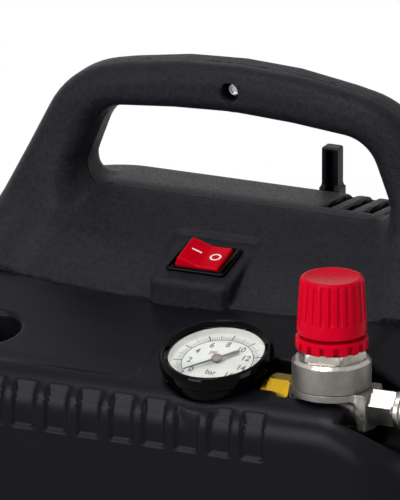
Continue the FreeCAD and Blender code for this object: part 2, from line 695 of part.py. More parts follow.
def front_cover():
    """Front cover with top panel, regulator well, accessory cup and recess band."""
    shell = SHELL.cut(behind_seam())
    outside = OUTER.cut(behind_seam())
    lining = regulator_well(WALL).common(outside)
    cup = rod(CUP_RADIUS + CUP_RIM, (CUP_X, CUP_Y, CUP_FLOOR_Z - WALL), Z_AXIS, CUP_DEPTH + 40)
    shell = shell.fuse([lining, cup.common(outside)])
    shell = shell.cut(regulator_well(0.0))
    shell = shell.cut(rod(CUP_RADIUS, (CUP_X, CUP_Y, CUP_FLOOR_Z), Z_AXIS, CUP_DEPTH + 40))
    shell = shell.cut(rod(INLET_RADIUS + SEAT, (REG_X, REG_Y, WELL_FLOOR_Z - 2 * WALL), Z_AXIS,
                          3 * WALL))
    shell = shell.cut(gauge_hole())
    for x, y in base_screw_places():
        if y < 0:
            shell = shell.fuse(base_boss(x, y))
            shell = shell.cut(rod(SCREW_RADIUS, (x, y, BASE_TOP), Z_AXIS, BASE_SCREW_LENGTH))
    for cut in band_recesses() + front_vents():
        shell = shell.cut(cut)
    return shell


def base_boss(x, y):
    """Upright screw boss joined to the wall behind it."""
    toward = HALF_D if y > 0 else -HALF_D
    low, high = sorted((y, toward - math.copysign(WALL / 2.0, toward)))
    post = rod(BOSS_RADIUS, (x, y, BASE_TOP), Z_AXIS, BASE_SCREW_LENGTH + 4.0)
    web = box(x - 1.5, x + 1.5, low, high, BASE_TOP, BASE_TOP + BASE_SCREW_LENGTH)
    return post.fuse(web)


def band_recesses():
    """A row of equal shallow bars pressed into the rounded top of the front face."""
    skin = OUTER.cut(body_form(BAND_DEPTH))
    cuts = []
    start = -BAND_PITCH * (BAND_COUNT - 1) / 2.0
    low = FRONT_EDGE_Z - BAND_HEIGHT
    back = -HALF_D + FRONT_EDGE_RADIUS * 0.6
    for index in range(BAND_COUNT):
        x = start + index * BAND_PITCH
        bar = box(x - BAND_WIDTH / 2.0, x + BAND_WIDTH / 2.0, -HALF_D - 1.0, back, low, CROWN_Z)
        cuts.append(bar.common(skin))
    return cuts


def front_vents():
    """Upright cooling slots low in the front face."""
    cuts = []
    for side in (-1, 1):
        for index in range(VENT_COUNT):
            x = side * (22.0 + index * VENT_PITCH)
            outline = [Vector(x - VENT_WIDTH / 2, -HALF_D - 2, VENT_Z),
                       Vector(x + VENT_WIDTH / 2, -HALF_D - 2, VENT_Z),
                       Vector(x + VENT_WIDTH / 2, -HALF_D - 2, VENT_Z + VENT_LENGTH),
                       Vector(x - VENT_WIDTH / 2, -HALF_D - 2, VENT_Z + VENT_LENGTH)]
            cuts.append(prism(outline, [VENT_WIDTH / 2 - 0.1] * 4, Vector(0, WALL + 4, 0)))
    return cuts


def handle_shell():
    """Middle shell: front half of the handle, the scoop and the switch pedestal."""
    shell = SHELL.common(behind_seam()).cut(behind_parting())
    for x, z in rear_screw_places():
        post = rod(BOSS_RADIUS, (x, PARTING_Y - HOUSING_SCREW_LENGTH, z), Y_AXIS,
                   HOUSING_SCREW_LENGTH)
        web = box(min(x, math.copysign(HALF_W - 1, x)), max(x, math.copysign(HALF_W - 1, x)),
                  PARTING_Y - HOUSING_SCREW_LENGTH, PARTING_Y, z - 1.5, z + 1.5)
        shell = shell.fuse([post, web])
        shell = shell.cut(rod(SCREW_RADIUS, (x, PARTING_Y - HOUSING_SCREW_LENGTH + 4, z), Y_AXIS,
                              HOUSING_SCREW_LENGTH))
    boss = rod(SCREW_WELL_RADIUS + 2.0, (0, BAR_FRONT_Y, BAR_MIDDLE_Z), Y_AXIS,
               PARTING_Y - BAR_FRONT_Y)
    shell = shell.fuse(boss)
    head_y = PARTING_Y - 3.0
    shell = shell.cut(rod(SCREW_WELL_RADIUS, (0, 0, BAR_MIDDLE_Z), Y_AXIS, head_y))
    shell = shell.cut(rod(SCREW_RADIUS + SEAT, (0, 0, BAR_MIDDLE_Z), Y_AXIS, 60))
    hole = box(-SWITCH_BODY_LENGTH / 2 - SEAT, SWITCH_BODY_LENGTH / 2 + SEAT,
               -SWITCH_BODY_WIDTH / 2 - SEAT, SWITCH_BODY_WIDTH / 2 + SEAT, -8, 8)
    return shell.cut(on_plane(hole, 0, SWITCH_Y, PAD_CENTRE_Z, SWITCH_TILT))


def louvre_cuts():
    """Slots through the right side of the ledge, long in Y."""
    cuts = []
    for index in range(LOUVRE_COUNT):
        x = LOUVRE_START_X + LOUVRE_PITCH * index
        cuts.append(box(x - LOUVRE_WIDTH / 2, x + LOUVRE_WIDTH / 2, CREST_Y + 3,
                        CREST_Y + 3 + LOUVRE_LENGTH, LIP_Z - 30, CREST_Z + 5))
    return cuts


def rear_vents():
    """Long cooling slots across the rear face."""
    cuts = []
    for index in range(VENT_COUNT):
        z = 95.0 + index * 12.0
        outline = [Vector(-VENT_LENGTH, HALF_D + 2, z - VENT_WIDTH / 2),
                   Vector(VENT_LENGTH, HALF_D + 2, z - VENT_WIDTH / 2),
                   Vector(VENT_LENGTH, HALF_D + 2, z + VENT_WIDTH / 2),
                   Vector(-VENT_LENGTH, HALF_D + 2, z + VENT_WIDTH / 2)]
        cuts.append(prism(outline, [VENT_WIDTH / 2 - 0.1] * 4, Vector(0, -WALL - 4, 0)))
    return cuts


def rear_shell():
    """Rear shell: back half of the handle, ledge with louvres, rear face."""
    shell = SHELL.common(behind_parting())
    length = HALF_D - PARTING_Y
    for x, z in rear_screw_places():
        sleeve = rod(BOSS_RADIUS, (x, PARTING_Y, z), Y_AXIS, length - WALL)
        web = box(min(x, math.copysign(HALF_W - 1, x)), max(x, math.copysign(HALF_W - 1, x)),
                  PARTING_Y, PARTING_Y + length - 20, z - 1.5, z + 1.5)
        shell = shell.fuse([sleeve, web.common(OUTER)])
        shell = shell.cut(rod(SCREW_RADIUS + SEAT, (x, PARTING_Y - 1, z), Y_AXIS, 60))
        shell = shell.cut(rod(SCREW_HEAD_RADIUS + SEAT, (x, PARTING_Y + 6, z), Y_AXIS, 60))
    rear_bar = BAR_FRONT_Y + BAR_DEPTH - PARTING_Y
    boss = rod(SCREW_WELL_RADIUS, (0, PARTING_Y, BAR_MIDDLE_Z), Y_AXIS, rear_bar - 1.5)
    shell = shell.fuse(boss).cut(rod(SCREW_RADIUS, (0, PARTING_Y - 1, BAR_MIDDLE_Z), Y_AXIS, 12))
    for x, y in base_screw_places():
        if y > 0:
            shell = shell.fuse(base_boss(x, y))
            shell = shell.cut(rod(SCREW_RADIUS, (x, y, BASE_TOP), Z_AXIS, BASE_SCREW_LENGTH))
    for x, z in hook_screw_places():
        shell = shell.cut(rod(SCREW_RADIUS, (x, HALF_D - 10, z), Y_AXIS, 20))
    shell = shell.cut(rod(GLAND_RADIUS - 2.0, (GLAND_X, HALF_D - 20, GLAND_Z), Y_AXIS, 40))
    for cut in louvre_cuts() + rear_vents():
        shell = shell.cut(cut)
    return shell


def base_plate():
    """Bottom plate that the shells and the drive stand on."""
    plate = plan_block(HALF_W, HALF_D, BODY_CORNER, FOOT_HEIGHT, BASE_TOP)
    for x, y in base_screw_places():
        plate = plate.cut(rod(SCREW_RADIUS + SEAT, (x, y, 0), Z_AXIS, 60))
        plate = plate.cut(rod(SCREW_HEAD_RADIUS + SEAT, (x, y, 0), Z_AXIS,
                              FOOT_HEIGHT + SCREW_HEAD_HEIGHT))
    for x, y in foot_places():
        plate = plate.cut(rod(SCREW_RADIUS, (x, y, 0), Z_AXIS, 60))
    plate = plate.cut(rod(CENTRE_STUD_RADIUS, (0, 0, 0), Z_AXIS, 60))
    return plate


def case_screws():
    """Screws of the housing: up through the base, in from the rear, one in the handle bar."""
    level = FOOT_HEIGHT + SCREW_HEAD_HEIGHT
    screws = [screw((x, y, level), Z_AXIS, BASE_SCREW_LENGTH - 4) for x, y in base_screw_places()]
    for x, z in rear_screw_places():
        screws.append(screw((x, PARTING_Y + 6.0, z), Y_AXIS * -1, HOUSING_SCREW_LENGTH))
    screws.append(screw((0, PARTING_Y - 3.0, BAR_MIDDLE_Z), Y_AXIS, 12.0))
    return screws


def foot_places():
    """Centres of the four feet."""
    across = HALF_W - FOOT_INSET_X
    deep = HALF_D - FOOT_INSET_Y
    return [(x, y) for x in (-across, across) for y in (-deep, deep)]


def foot(x, y):
    """A tapered rubber foot with a well for its screw."""
    block = Part.makeCone(FOOT_RADIUS - 2.0, FOOT_RADIUS, FOOT_HEIGHT, Vector(x, y, 0))
    well = rod(SCREW_HEAD_RADIUS + 1.0, (x, y, 0), Z_AXIS, FOOT_HEIGHT - 4.0)
    return block.cut(well).cut(rod(SCREW_RADIUS, (x, y, 0), Z_AXIS, FOOT_HEIGHT))


def centre_foot():
    """A plain foot under the middle, held by its own stud."""
    block = Part.makeCone(FOOT_RADIUS - 2.0, FOOT_RADIUS, FOOT_HEIGHT)
    return block.fuse(rod(CENTRE_STUD_RADIUS, (0, 0, FOOT_HEIGHT), Z_AXIS, BASE_THICKNESS))


def foot_screws():
    """Screws that hold the feet."""
    return [screw((x, y, FOOT_HEIGHT - 4.0), Z_AXIS, FOOT_SCREW_LENGTH - 2)
            for x, y in foot_places()]


# ---- switch, built flat about the middle of the pedestal top
def switch_place(shape):
    """Carry a switch piece to the pedestal."""
    return on_plane(shape, 0, SWITCH_Y, PAD_CENTRE_Z, SWITCH_TILT)


def rocker_window():
    """Half length and half width of the hole in the bezel."""
    return SWITCH_LENGTH / 2 - BEZEL_RIM_X, SWITCH_WIDTH / 2 - BEZEL_RIM_Y


def switch_housing():
    """Snap-in switch body with its bezel."""
    half_x, half_y = rocker_window()
    bezel = plan_block(SWITCH_LENGTH / 2, SWITCH_WIDTH / 2, 1.6, 0, BEZEL_HEIGHT)
    rim = [edge for edge in bezel.Edges if edge.BoundBox.ZMin > BEZEL_HEIGHT - 0.01]
    bezel = bezel.makeChamfer(0.7, rim)
    body = plan_block(SWITCH_BODY_LENGTH / 2, SWITCH_BODY_WIDTH / 2, 1.0, -SWITCH_DEPTH, 0)
    solid = bezel.fuse(body)
    solid = solid.cut(box(-half_x, half_x, -half_y, half_y, -SWITCH_DEPTH + 3.0, 9))
    solid = solid.cut(rod(ROCKER_PIN_RADIUS + RUNNING, (0, -half_y - 1, 0), Y_AXIS,
                          2 * half_y + 2))
    return switch_place(solid)


def switch_rocker():
    """Rocker, at rest with its right end pressed in."""
    half_x, half_y = rocker_window()
    end = half_x - ROCKER_GAP
    across = half_y - ROCKER_GAP
    crest = BEZEL_HEIGHT + ROCKER_CREST
    top_end = end - ROCKER_LEAN
    outline = [(-top_end, crest), (0, crest - ROCKER_DISH), (top_end, crest), (end, 0.5),
               (end - 2.5, -4.0), (0, -7.0), (-end + 2.5, -4.0), (-end, 0.5)]
    points = [Vector(x, -across, z) for x, z in outline]
    block = Part.Face(Part.makePolygon(points + [points[0]])).extrude(Vector(0, 2 * across, 0))
    pin = rod(ROCKER_PIN_RADIUS, (0, -half_y - 0.8, 0), Y_AXIS, 2 * half_y + 1.6)
    solid = block.fuse(pin)
    solid.rotate(Vector(0, 0, 0), Y_AXIS, ROCKER_TRAVEL / 2.0)
    return switch_place(solid)


def switch_terminals():
    """Four blade terminals under the switch."""
    blades = []
    for x in (-8.0, 8.0):
        for y in (-6.0, 6.0):
            blade = box(x - 0.4, x + 0.4, y - 3.1, y + 3.1, -SWITCH_DEPTH - 9, -SWITCH_DEPTH)
            blades.append(switch_place(blade))
    return blades


# ---- gauge, built flat about its centre on the panel
def gauge_place(shape):
    """Carry a gauge piece to the panel."""
    return on_plane(shape, GAUGE_X, GAUGE_Y, GAUGE_Z, PANEL_TILT)


def gauge_case():
    """Cup that holds the movement."""
    outer = rod(GAUGE_CASE_RADIUS, (0, 0, -GAUGE_CASE_DEPTH), Z_AXIS,
                GAUGE_CASE_DEPTH + GAUGE_CASE_RISE)
    inner = rod(GAUGE_CASE_RADIUS - GAUGE_CASE_WALL, (0, 0, -GAUGE_CASE_DEPTH + 2.0), Z_AXIS, 60)
    return gauge_place(outer.cut(inner)).cut(rod(GAUGE_PORT_RADIUS, (GAUGE_X, REG_Y, PORT_Z), X_AXIS, 60))


def gauge_bezel():
    """Glossy ring that holds the glass."""
    base = GAUGE_CASE_RISE
    top = base + GAUGE_BEZEL_HEIGHT
    lip = GAUGE_GLASS_RADIUS - 0.6
    ring = turned([(GAUGE_CASE_RADIUS + 0.1, base - 3.0), (GAUGE_BEZEL_RADIUS, base - 3.0),
                   (GAUGE_BEZEL_RADIUS, top - 2.2), (GAUGE_BEZEL_RADIUS - 0.8, top - 0.7),
                   (GAUGE_BEZEL_RADIUS - 2.2, top), (lip, top - 1.4), (lip, top - 2.4),
                   (GAUGE_GLASS_RADIUS + 0.1, top - 2.4), (GAUGE_GLASS_RADIUS + 0.1, base),
                   (GAUGE_CASE_RADIUS + 0.1, base)], (0, 0, 0), Z_AXIS)
    return gauge_place(ring)


def glass_level():
    """Underside of the glass above the panel."""
    return GAUGE_CASE_RISE + GAUGE_BEZEL_HEIGHT - 2.4 - GAUGE_GLASS_THICKNESS


def gauge_lens():
    """Flat glass."""
    return gauge_place(rod(GAUGE_GLASS_RADIUS, (0, 0, glass_level()), Z_AXIS,
                           GAUGE_GLASS_THICKNESS))


def gauge_dial():
    """Dial plate with a hole for the pointer spindle."""
    low = GAUGE_DIAL_LEVEL - GAUGE_DIAL_THICKNESS
    plate = rod(GAUGE_CASE_RADIUS - GAUGE_CASE_WALL - 0.2, (0, 0, low), Z_AXIS,
                GAUGE_DIAL_THICKNESS)
    posts = [rod(1.2, (x, 0, -GAUGE_CASE_DEPTH + 2.0), Z_AXIS, low + GAUGE_CASE_DEPTH - 2.0)
             for x in (-19.0, 19.0)]
    return gauge_place(fused([plate] + posts[:1]).cut(rod(1.6, (0, 0, 0), Z_AXIS, 9)))


def gauge_pointer():
    """Pointer with hub and spindle, at rest on zero."""
    low = GAUGE_DIAL_LEVEL + POINTER_LIFT
    blade = [Vector(-0.55, 0, low), Vector(-1.3, -POINTER_TAIL, low),
             Vector(1.3, -POINTER_TAIL, low), Vector(0.55, 0, low),
             Vector(0.2, POINTER_LENGTH, low), Vector(-0.2, POINTER_LENGTH, low)]
    needle = Part.Face(Part.makePolygon(blade + [blade[0]])).extrude(Vector(0, 0, 0.5))
    hub = rod(2.6, (0, 0, low - 0.4), Z_AXIS, 1.8)
    spindle = rod(0.9, (0, 0, -5.0), Z_AXIS, low + 5.0)
    solid = fused([needle, hub, spindle])
    solid.rotate(Vector(0, 0, 0), Z_AXIS, -POINTER_ZERO)
    return gauge_place(solid)


def gauge_movement():
    """Frame and gears behind the dial, which carry the pointer spindle."""
    frame = box(-7, 7, -7, 7, -15, -13)
    upper = box(-7, 7, -7, 7, -3.5, -2.0).cut(rod(0.9 + RUNNING, (0, 0, -6), Z_AXIS, 9))
    posts = [rod(1.2, (x, y, -13), Z_AXIS, 9.5) for x in (-5.5, 5.5) for y in (-5.5, 5.5)]
    foot_block = box(-4, 4, -4, 4, -GAUGE_CASE_DEPTH + 2.0, -15)
    gear = rod(5.0, (0, 0, -9.5), Z_AXIS, 1.0)
    arbor = rod(1.0, (0, 0, -13), Z_AXIS, 6.0)
    return gauge_place(fused([frame, upper, foot_block, gear, arbor] + posts))


def bourdon_tube():
    """C-shaped pressure tube round the movement."""
    ring = Part.makeTorus(BOURDON_RADIUS, BOURDON_WIRE, Vector(0, 0, -GAUGE_PORT_DROP), Z_AXIS)
    gap = Part.makeBox(30, 30, 12, Vector(0, 0, -12))
    gap.rotate(Vector(0, 0, 0), Z_AXIS, 22)
    return gauge_place(ring.cut(gap))


def gauge_stem():
    """Brass connection from the gauge to the regulator."""
    start = BOURDON_RADIUS - 1.0
    end = REG_LEFT_X + 6.0 - GAUGE_X
    hex_start = GAUGE_CASE_RADIUS + 3.0
    hex_end = REG_LEFT_X - GAUGE_X - 1.0
    bar = rod(GAUGE_PORT_RADIUS, (start, 0, 0), X_AXIS, end - start)
    nut = hexagon(GAUGE_PORT_HEX, (hex_start, 0, 0), X_AXIS, hex_end - hex_start, 30.0)
    solid = fused([bar, nut])
    solid.translate(Vector(GAUGE_X, REG_Y, PORT_Z))
    return solid.cut(bourdon_tube()).Solids[0]


# ---- regulator
def regulator_body():
    """Cast port block: gauge port left, outlet flange right, inlet below, drum seat on top."""
    block = rod(REG_BLOCK_RADIUS, (REG_LEFT_X + 3.0, REG_Y, OUTLET_Z), X_AXIS,
                REG_FLANGE_X - REG_LEFT_X - 3.0)
    half = REG_FLANGE_HALF
    flange = box(REG_FLANGE_X - REG_FLANGE_THICKNESS, REG_FLANGE_X, REG_Y - half, REG_Y + half,
                 OUTLET_Z - half, OUTLET_Z + half - 1.5)
    port = rod(8.5, (REG_LEFT_X, REG_Y, PORT_Z), X_AXIS, 10)
    seat = rod(DRUM_RADIUS, (REG_X, REG_Y, DRUM_BASE_Z - DRUM_SEAT), Z_AXIS, DRUM_SEAT)
    inlet_foot = WELL_FLOOR_Z - WALL - INLET_DROP
    inlet = rod(INLET_RADIUS, (REG_X, REG_Y, inlet_foot), Z_AXIS,
                OUTLET_Z - REG_BLOCK_RADIUS + 1.5 - inlet_foot)
    solid = fused([block, flange, port, seat, inlet])
    top = box(0, HALF_W, -HALF_D, 0, DRUM_BASE_Z, CROWN_Z)
    solid = solid.cut(top)
    solid = solid.cut(rod(GAUGE_PORT_RADIUS, (0, REG_Y, PORT_Z), X_AXIS, REG_LEFT_X + 6.0))
    solid = solid.cut(rod(3.0, (0, REG_Y, PORT_Z), X_AXIS, REG_X))
    solid = solid.cut(rod(5.0, (REG_X, REG_Y, OUTLET_Z), X_AXIS, HALF_W))
    solid = solid.cut(rod(TUBE_RADIUS, (REG_X, REG_Y, inlet_foot), Z_AXIS, OUTLET_Z - inlet_foot))
    return solid.cut(rod(DRUM_PORT_RADIUS, (REG_X, REG_Y, OUTLET_Z + 2.0), Z_AXIS, 20))


def regulator_diaphragm():
    """Rubber disc that closes the spring chamber."""
    disc = rod(DRUM_RADIUS - DRUM_WALL, (REG_X, REG_Y, DRUM_BASE_Z), Z_AXIS, DIAPHRAGM_THICKNESS)
    return disc.fuse(rod(6.0, (REG_X, REG_Y, DRUM_BASE_Z - 2.0), Z_AXIS, 2.0))


def regulator_valve():
    """Valve stem under the diaphragm."""
    low = OUTLET_Z - 14.0
    stem = rod(VALVE_STEM_RADIUS, (REG_X, REG_Y, low), Z_AXIS, DRUM_BASE_Z - 2.0 - low)
    return stem.fuse(rod(3.4, (REG_X, REG_Y, low), Z_AXIS, 3.0))


def regulator_bonnet():
    """Spring housing: drum, hexagon and threaded neck."""
    inner = DRUM_RADIUS - DRUM_WALL
    drum = rod(DRUM_RADIUS, (REG_X, REG_Y, DRUM_BASE_Z), Z_AXIS, DRUM_HEIGHT)
    rim = [edge for edge in drum.Edges if edge.BoundBox.ZMin > DRUM_TOP_Z - 0.01]
    drum = drum.makeChamfer(DRUM_CHAMFER, rim)
    nut = hexagon(REG_HEX, (REG_X, REG_Y, DRUM_TOP_Z), Z_AXIS, REG_HEX_HEIGHT, REG_HEX_TURN)
    neck = rod(REG_NECK_RADIUS, (REG_X, REG_Y, REG_HEX_TOP_Z), Z_AXIS, REG_NECK_HEIGHT)
    solid = fused([drum, nut, neck])
    solid = solid.cut(rod(inner, (REG_X, REG_Y, DRUM_BASE_Z - 1), Z_AXIS,
                          DRUM_HEIGHT - DRUM_STEP_DROP + 1))
    solid = solid.cut(rod(inner - DRUM_STEP, (REG_X, REG_Y, DRUM_BASE_Z), Z_AXIS,
                          CAVITY_TOP_Z - DRUM_BASE_Z))
    return solid.cut(rod(SPINDLE_RADIUS + RUNNING, (REG_X, REG_Y, 200), Z_AXIS, 80))


def regulator_spindle():
    """Screw that the knob turns; a collar keeps it down while the seat climbs along it."""
    foot_z = SEAT_TOP_Z - SPRING_SEAT_THICKNESS - SPRING_TRAVEL
    length = KNOB_TOP_Z - KNOB_ROOF - foot_z
    bar = rod(SPINDLE_RADIUS, (REG_X, REG_Y, foot_z), Z_AXIS, length)
    collar = rod(SPINDLE_RADIUS + 2.0, (REG_X, REG_Y, COLLAR_TOP_Z - SPINDLE_COLLAR), Z_AXIS,
                 SPINDLE_COLLAR)
    return bar.fuse(collar)


def regulator_spring_seat():
    """Disc between spindle and spring."""
    low = SEAT_TOP_Z - SPRING_SEAT_THICKNESS
    return pipe(DRUM_RADIUS - DRUM_WALL - SPRING_SEAT_GAP, SPINDLE_RADIUS + RUNNING,
                (REG_X, REG_Y, low), Z_AXIS, SPRING_SEAT_THICKNESS)


def coil(radius, wire, height, turns, start, axis):
    """A round wire spring."""
    helix = Part.makeHelix(height / turns, height, radius)
    profile = Part.Wire(Part.makeCircle(wire, Vector(radius, 0, 0), Vector(0, 1, 0)))
    spring = Part.Wire(helix).makePipeShell([profile], True, True)
    spring.Placement = FreeCAD.Placement(Vector(*start), FreeCAD.Rotation(Z_AXIS, axis))
    return spring


def regulator_spring():
    """Set spring between seat and diaphragm."""
    low = DRUM_BASE_Z + DIAPHRAGM_THICKNESS + REG_SPRING_WIRE
    high = SEAT_TOP_Z - SPRING_SEAT_THICKNESS - REG_SPRING_WIRE
    return coil(REG_SPRING_RADIUS, REG_SPRING_WIRE, high - low, REG_SPRING_TURNS,
                (REG_X, REG_Y, low), Z_AXIS)


def regulator_lock_ring():
    """Panel nut under the knob, with notches round its edge."""
    ring = pipe(LOCK_RING_RADIUS, REG_NECK_RADIUS + RUNNING, (REG_X, REG_Y, RING_BASE_Z), Z_AXIS,
                LOCK_RING_HEIGHT)
    for index in range(LOCK_NOTCHES):
        notch = box(LOCK_RING_RADIUS - 1.2, LOCK_RING_RADIUS + 3, -1.1, 1.1,
                    RING_BASE_Z - 1, RING_BASE_Z + LOCK_RING_HEIGHT - 1.6)
        notch.rotate(Vector(0, 0, 0), Z_AXIS, 360.0 * index / LOCK_NOTCHES)
        notch.translate(Vector(REG_X, REG_Y, 0))
        ring = ring.cut(notch)
    return ring


def regulator_knob():
    """Fluted knob, a cup that slides up on the spindle."""
    taper = KNOB_RADIUS - KNOB_TOP_RADIUS
    body = turned([(0, 0), (KNOB_RADIUS, 0), (KNOB_RADIUS, KNOB_BAND),
                   (KNOB_RADIUS - 0.5, KNOB_BAND + 0.5),
                   (KNOB_TOP_RADIUS + 0.3, KNOB_HEIGHT - 2.5), (KNOB_TOP_RADIUS - 0.4, KNOB_HEIGHT - 0.9),
                   (KNOB_TOP_RADIUS - 1.8, KNOB_HEIGHT), (0, KNOB_HEIGHT)],
                  (REG_X, REG_Y, KNOB_BASE_Z), Z_AXIS)
    lean = math.degrees(math.atan(taper / KNOB_HEIGHT))
    for index in range(KNOB_FLUTES):
        flute = rod(KNOB_FLUTE_RADIUS, (0, 0, KNOB_BAND + 1.5), Z_AXIS, KNOB_HEIGHT)
        flute.rotate(Vector(0, 0, 0), Y_AXIS, -lean)
        flute.translate(Vector(KNOB_RADIUS + 0.25, 0, 0))
        flute.rotate(Vector(0, 0, 0), Z_AXIS, 360.0 * index / KNOB_FLUTES)
        flute.translate(Vector(REG_X, REG_Y, KNOB_BASE_Z))
        body = body.cut(flute)
    hollow = rod(KNOB_RADIUS - KNOB_WALL - 1.0, (REG_X, REG_Y, KNOB_BASE_Z - 1), Z_AXIS,
                 KNOB_HEIGHT - KNOB_WALL - KNOB_ROOF)
    body = body.cut(hollow)
    hub_z = NECK_TOP_Z + 1.5
    hub = pipe(SPINDLE_RADIUS + 2.0, SPINDLE_RADIUS, (REG_X, REG_Y, hub_z), Z_AXIS,
               KNOB_TOP_Z - KNOB_ROOF + 1.0 - hub_z)
    body = body.fuse(hub)
    bore_top = KNOB_TOP_Z - KNOB_ROOF + RUNNING
    return body.cut(rod(SPINDLE_RADIUS + RUNNING, (REG_X, REG_Y, 200), Z_AXIS, bore_top - 200))


# ---- quick coupler
def coupler_adapter():
    """Hexagon nipple between regulator and coupler."""
    nut = hexagon(ADAPTER_HEX, (REG_FLANGE_X, REG_Y, OUTLET_Z), X_AXIS, ADAPTER_LENGTH,
                  ADAPTER_TURN)
    thread = rod(5.0, (REG_FLANGE_X - 8.0, REG_Y, OUTLET_Z), X_AXIS, 8.0)
    spigot = rod(4.6, (ADAPTER_END_X, REG_Y, OUTLET_Z), X_AXIS, 5.0)
    solid = fused([nut, thread, spigot])
    return solid.cut(rod(2.8, (0, REG_Y, OUTLET_Z), X_AXIS, 400))


def coupler_profile():
    """Outside of the coupler body as (radius, distance from the adapter)."""
    core = COUPLER_CORE
    collar = core + SPRING_ROOM - 0.1
    seat = SLEEVE_START + SLEEVE_TRAVEL
    end = COUPLER_LENGTH
    return [(0, 0), (COUPLER_RADIUS, 0), (COUPLER_RADIUS, SLEEVE_START - 1.0), (core, SLEEVE_START - 1.0),
            (core, seat - 1.5), (collar, seat - 1.5), (collar, seat + 0.5), (core, seat + 0.5),
            (core, end - 3.5), (core + 1.2, end - 3.0), (core + 1.2, end - 1.0), (core, end), (0, end)]


def coupler_body():
    """Turned body with the plug bore and ball holes."""
    solid = turned(coupler_profile(), (ADAPTER_END_X, REG_Y, OUTLET_Z), X_AXIS)
    solid = solid.cut(rod(4.6, (ADAPTER_END_X, REG_Y, OUTLET_Z), X_AXIS, 5.0))
    solid = solid.cut(rod(3.5, (ADAPTER_END_X, REG_Y, OUTLET_Z), X_AXIS, 100))
    solid = solid.cut(rod(VALVE_RADIUS + RUNNING, (ADAPTER_END_X + VALVE_CHAMBER, REG_Y, OUTLET_Z),
                          X_AXIS, 100))
    solid = solid.cut(rod(COUPLER_BORE, (COUPLER_END_X - SOCKET_DEPTH, REG_Y, OUTLET_Z), X_AXIS, 100))
    groove = pipe(COUPLER_BORE + O_RING_WIRE, COUPLER_BORE - 0.1,
                  (COUPLER_END_X - SOCKET_DEPTH + 1.0, REG_Y, OUTLET_Z), X_AXIS, O_RING_WIRE)
    solid = solid.cut(groove)
    axis_point = Vector(COUPLER_END_X - BALL_SETBACK, REG_Y, OUTLET_Z)
    for centre in ball_centres():
        outward = (centre - axis_point).normalize()
        solid = solid.cut(Part.makeCylinder(BALL_RADIUS + RUNNING, COUPLER_RADIUS, axis_point, outward))
    return solid


def ball_centres():
    """Centres of the locking balls."""
    centres = []
    for index in range(BALL_COUNT):
        angle = 2.0 * math.pi * index / BALL_COUNT
        reach = COUPLER_BORE + BALL_RADIUS
        centres.append(Vector(COUPLER_END_X - BALL_SETBACK, REG_Y + reach * math.cos(angle),
                              OUTLET_Z + reach * math.sin(angle)))
    return centres


def coupler_balls():
    """Locking balls."""
    return [Part.makeSphere(BALL_RADIUS, centre) for centre in ball_centres()]


def coupler_sleeve():
    """Sliding sleeve that frees the balls when pushed back."""
    wide = SLEEVE_RADIUS
    bore = wide - SLEEVE_WALL
    start = SLEEVE_TRAVEL + 1.0
    end = start + SLEEVE_LENGTH
    core = COUPLER_CORE + RUNNING
    solid = turned([(core, end - 6.0), (bore, end - 8.0), (bore, start), (wide - 0.6, start),
                    (wide, start + 0.6), (wide, start + 8.0), (wide - 0.9, start + 9.0),
                    (wide - 0.9, end - 4.0), (wide, end - 3.0), (wide, end - 0.6),
                    (wide - 0.6, end), (core, end)],
                   (SLEEVE_X, REG_Y, OUTLET_Z), X_AXIS)
    return solid


def coupler_spring():
    """Spring behind the sleeve."""
    wire = SLEEVE_SPRING_WIRE
    start = SLEEVE_TRAVEL + 0.5 + wire
    length = SLEEVE_TRAVEL + 1.0 + SLEEVE_LENGTH - 8.0 - wire - start
    return coil(COUPLER_CORE + SPRING_ROOM / 2.0, wire, length, SLEEVE_SPRING_TURNS,
                (SLEEVE_X + start, REG_Y, OUTLET_Z), X_AXIS)


def coupler_valve():
    """Poppet that shuts the coupler when no plug is in."""
    start = COUPLER_END_X - SOCKET_DEPTH - VALVE_LENGTH
    return turned([(0, 0), (VALVE_RADIUS, 0), (VALVE_RADIUS, VALVE_LENGTH - 2.5), (2.5, VALVE_LENGTH),
                   (0, VALVE_LENGTH)], (start, REG_Y, OUTLET_Z), X_AXIS)


def coupler_seal():
    """O-ring in the plug bore."""
    wire = O_RING_WIRE / 2.0 - 0.05
    centre_x = COUPLER_END_X - SOCKET_DEPTH + 1.0 + O_RING_WIRE / 2.0
    return Part.makeTorus(COUPLER_BORE + O_RING_WIRE / 2.0, wire, Vector(centre_x, REG_Y, OUTLET_Z),
                          X_AXIS)


# ---- motor
def motor_stator():
    """Laminated stack with round bore, and its two field coils."""
    start = (MOTOR_X, STATOR_FRONT_Y, SHAFT_Z)
    stack = rod(STATOR_RADIUS, start, Y_AXIS, STATOR_LENGTH)
    flats = box(MOTOR_X - STATOR_RADIUS + 4, MOTOR_X + STATOR_RADIUS - 4, -100, 100, 0, 200)
    stack = stack.common(flats)
    return stack.cut(rod(ROTOR_RADIUS + AIR_GAP, start, Y_AXIS, STATOR_LENGTH))


def motor_windings():
    """Copper field coils at both ends of the stack."""
    rings = []
    for y in (STATOR_FRONT_Y - WINDING_DEPTH, STATOR_REAR_Y):
        ring = pipe(STATOR_RADIUS - 5.0, ROTOR_RADIUS + 3.0, (MOTOR_X, y, SHAFT_Z), Y_AXIS,
                    WINDING_DEPTH)
        rings.append(ring.makeFillet(2.5, [e for e in ring.Edges if e.Length > 100][:2]))
    return rings


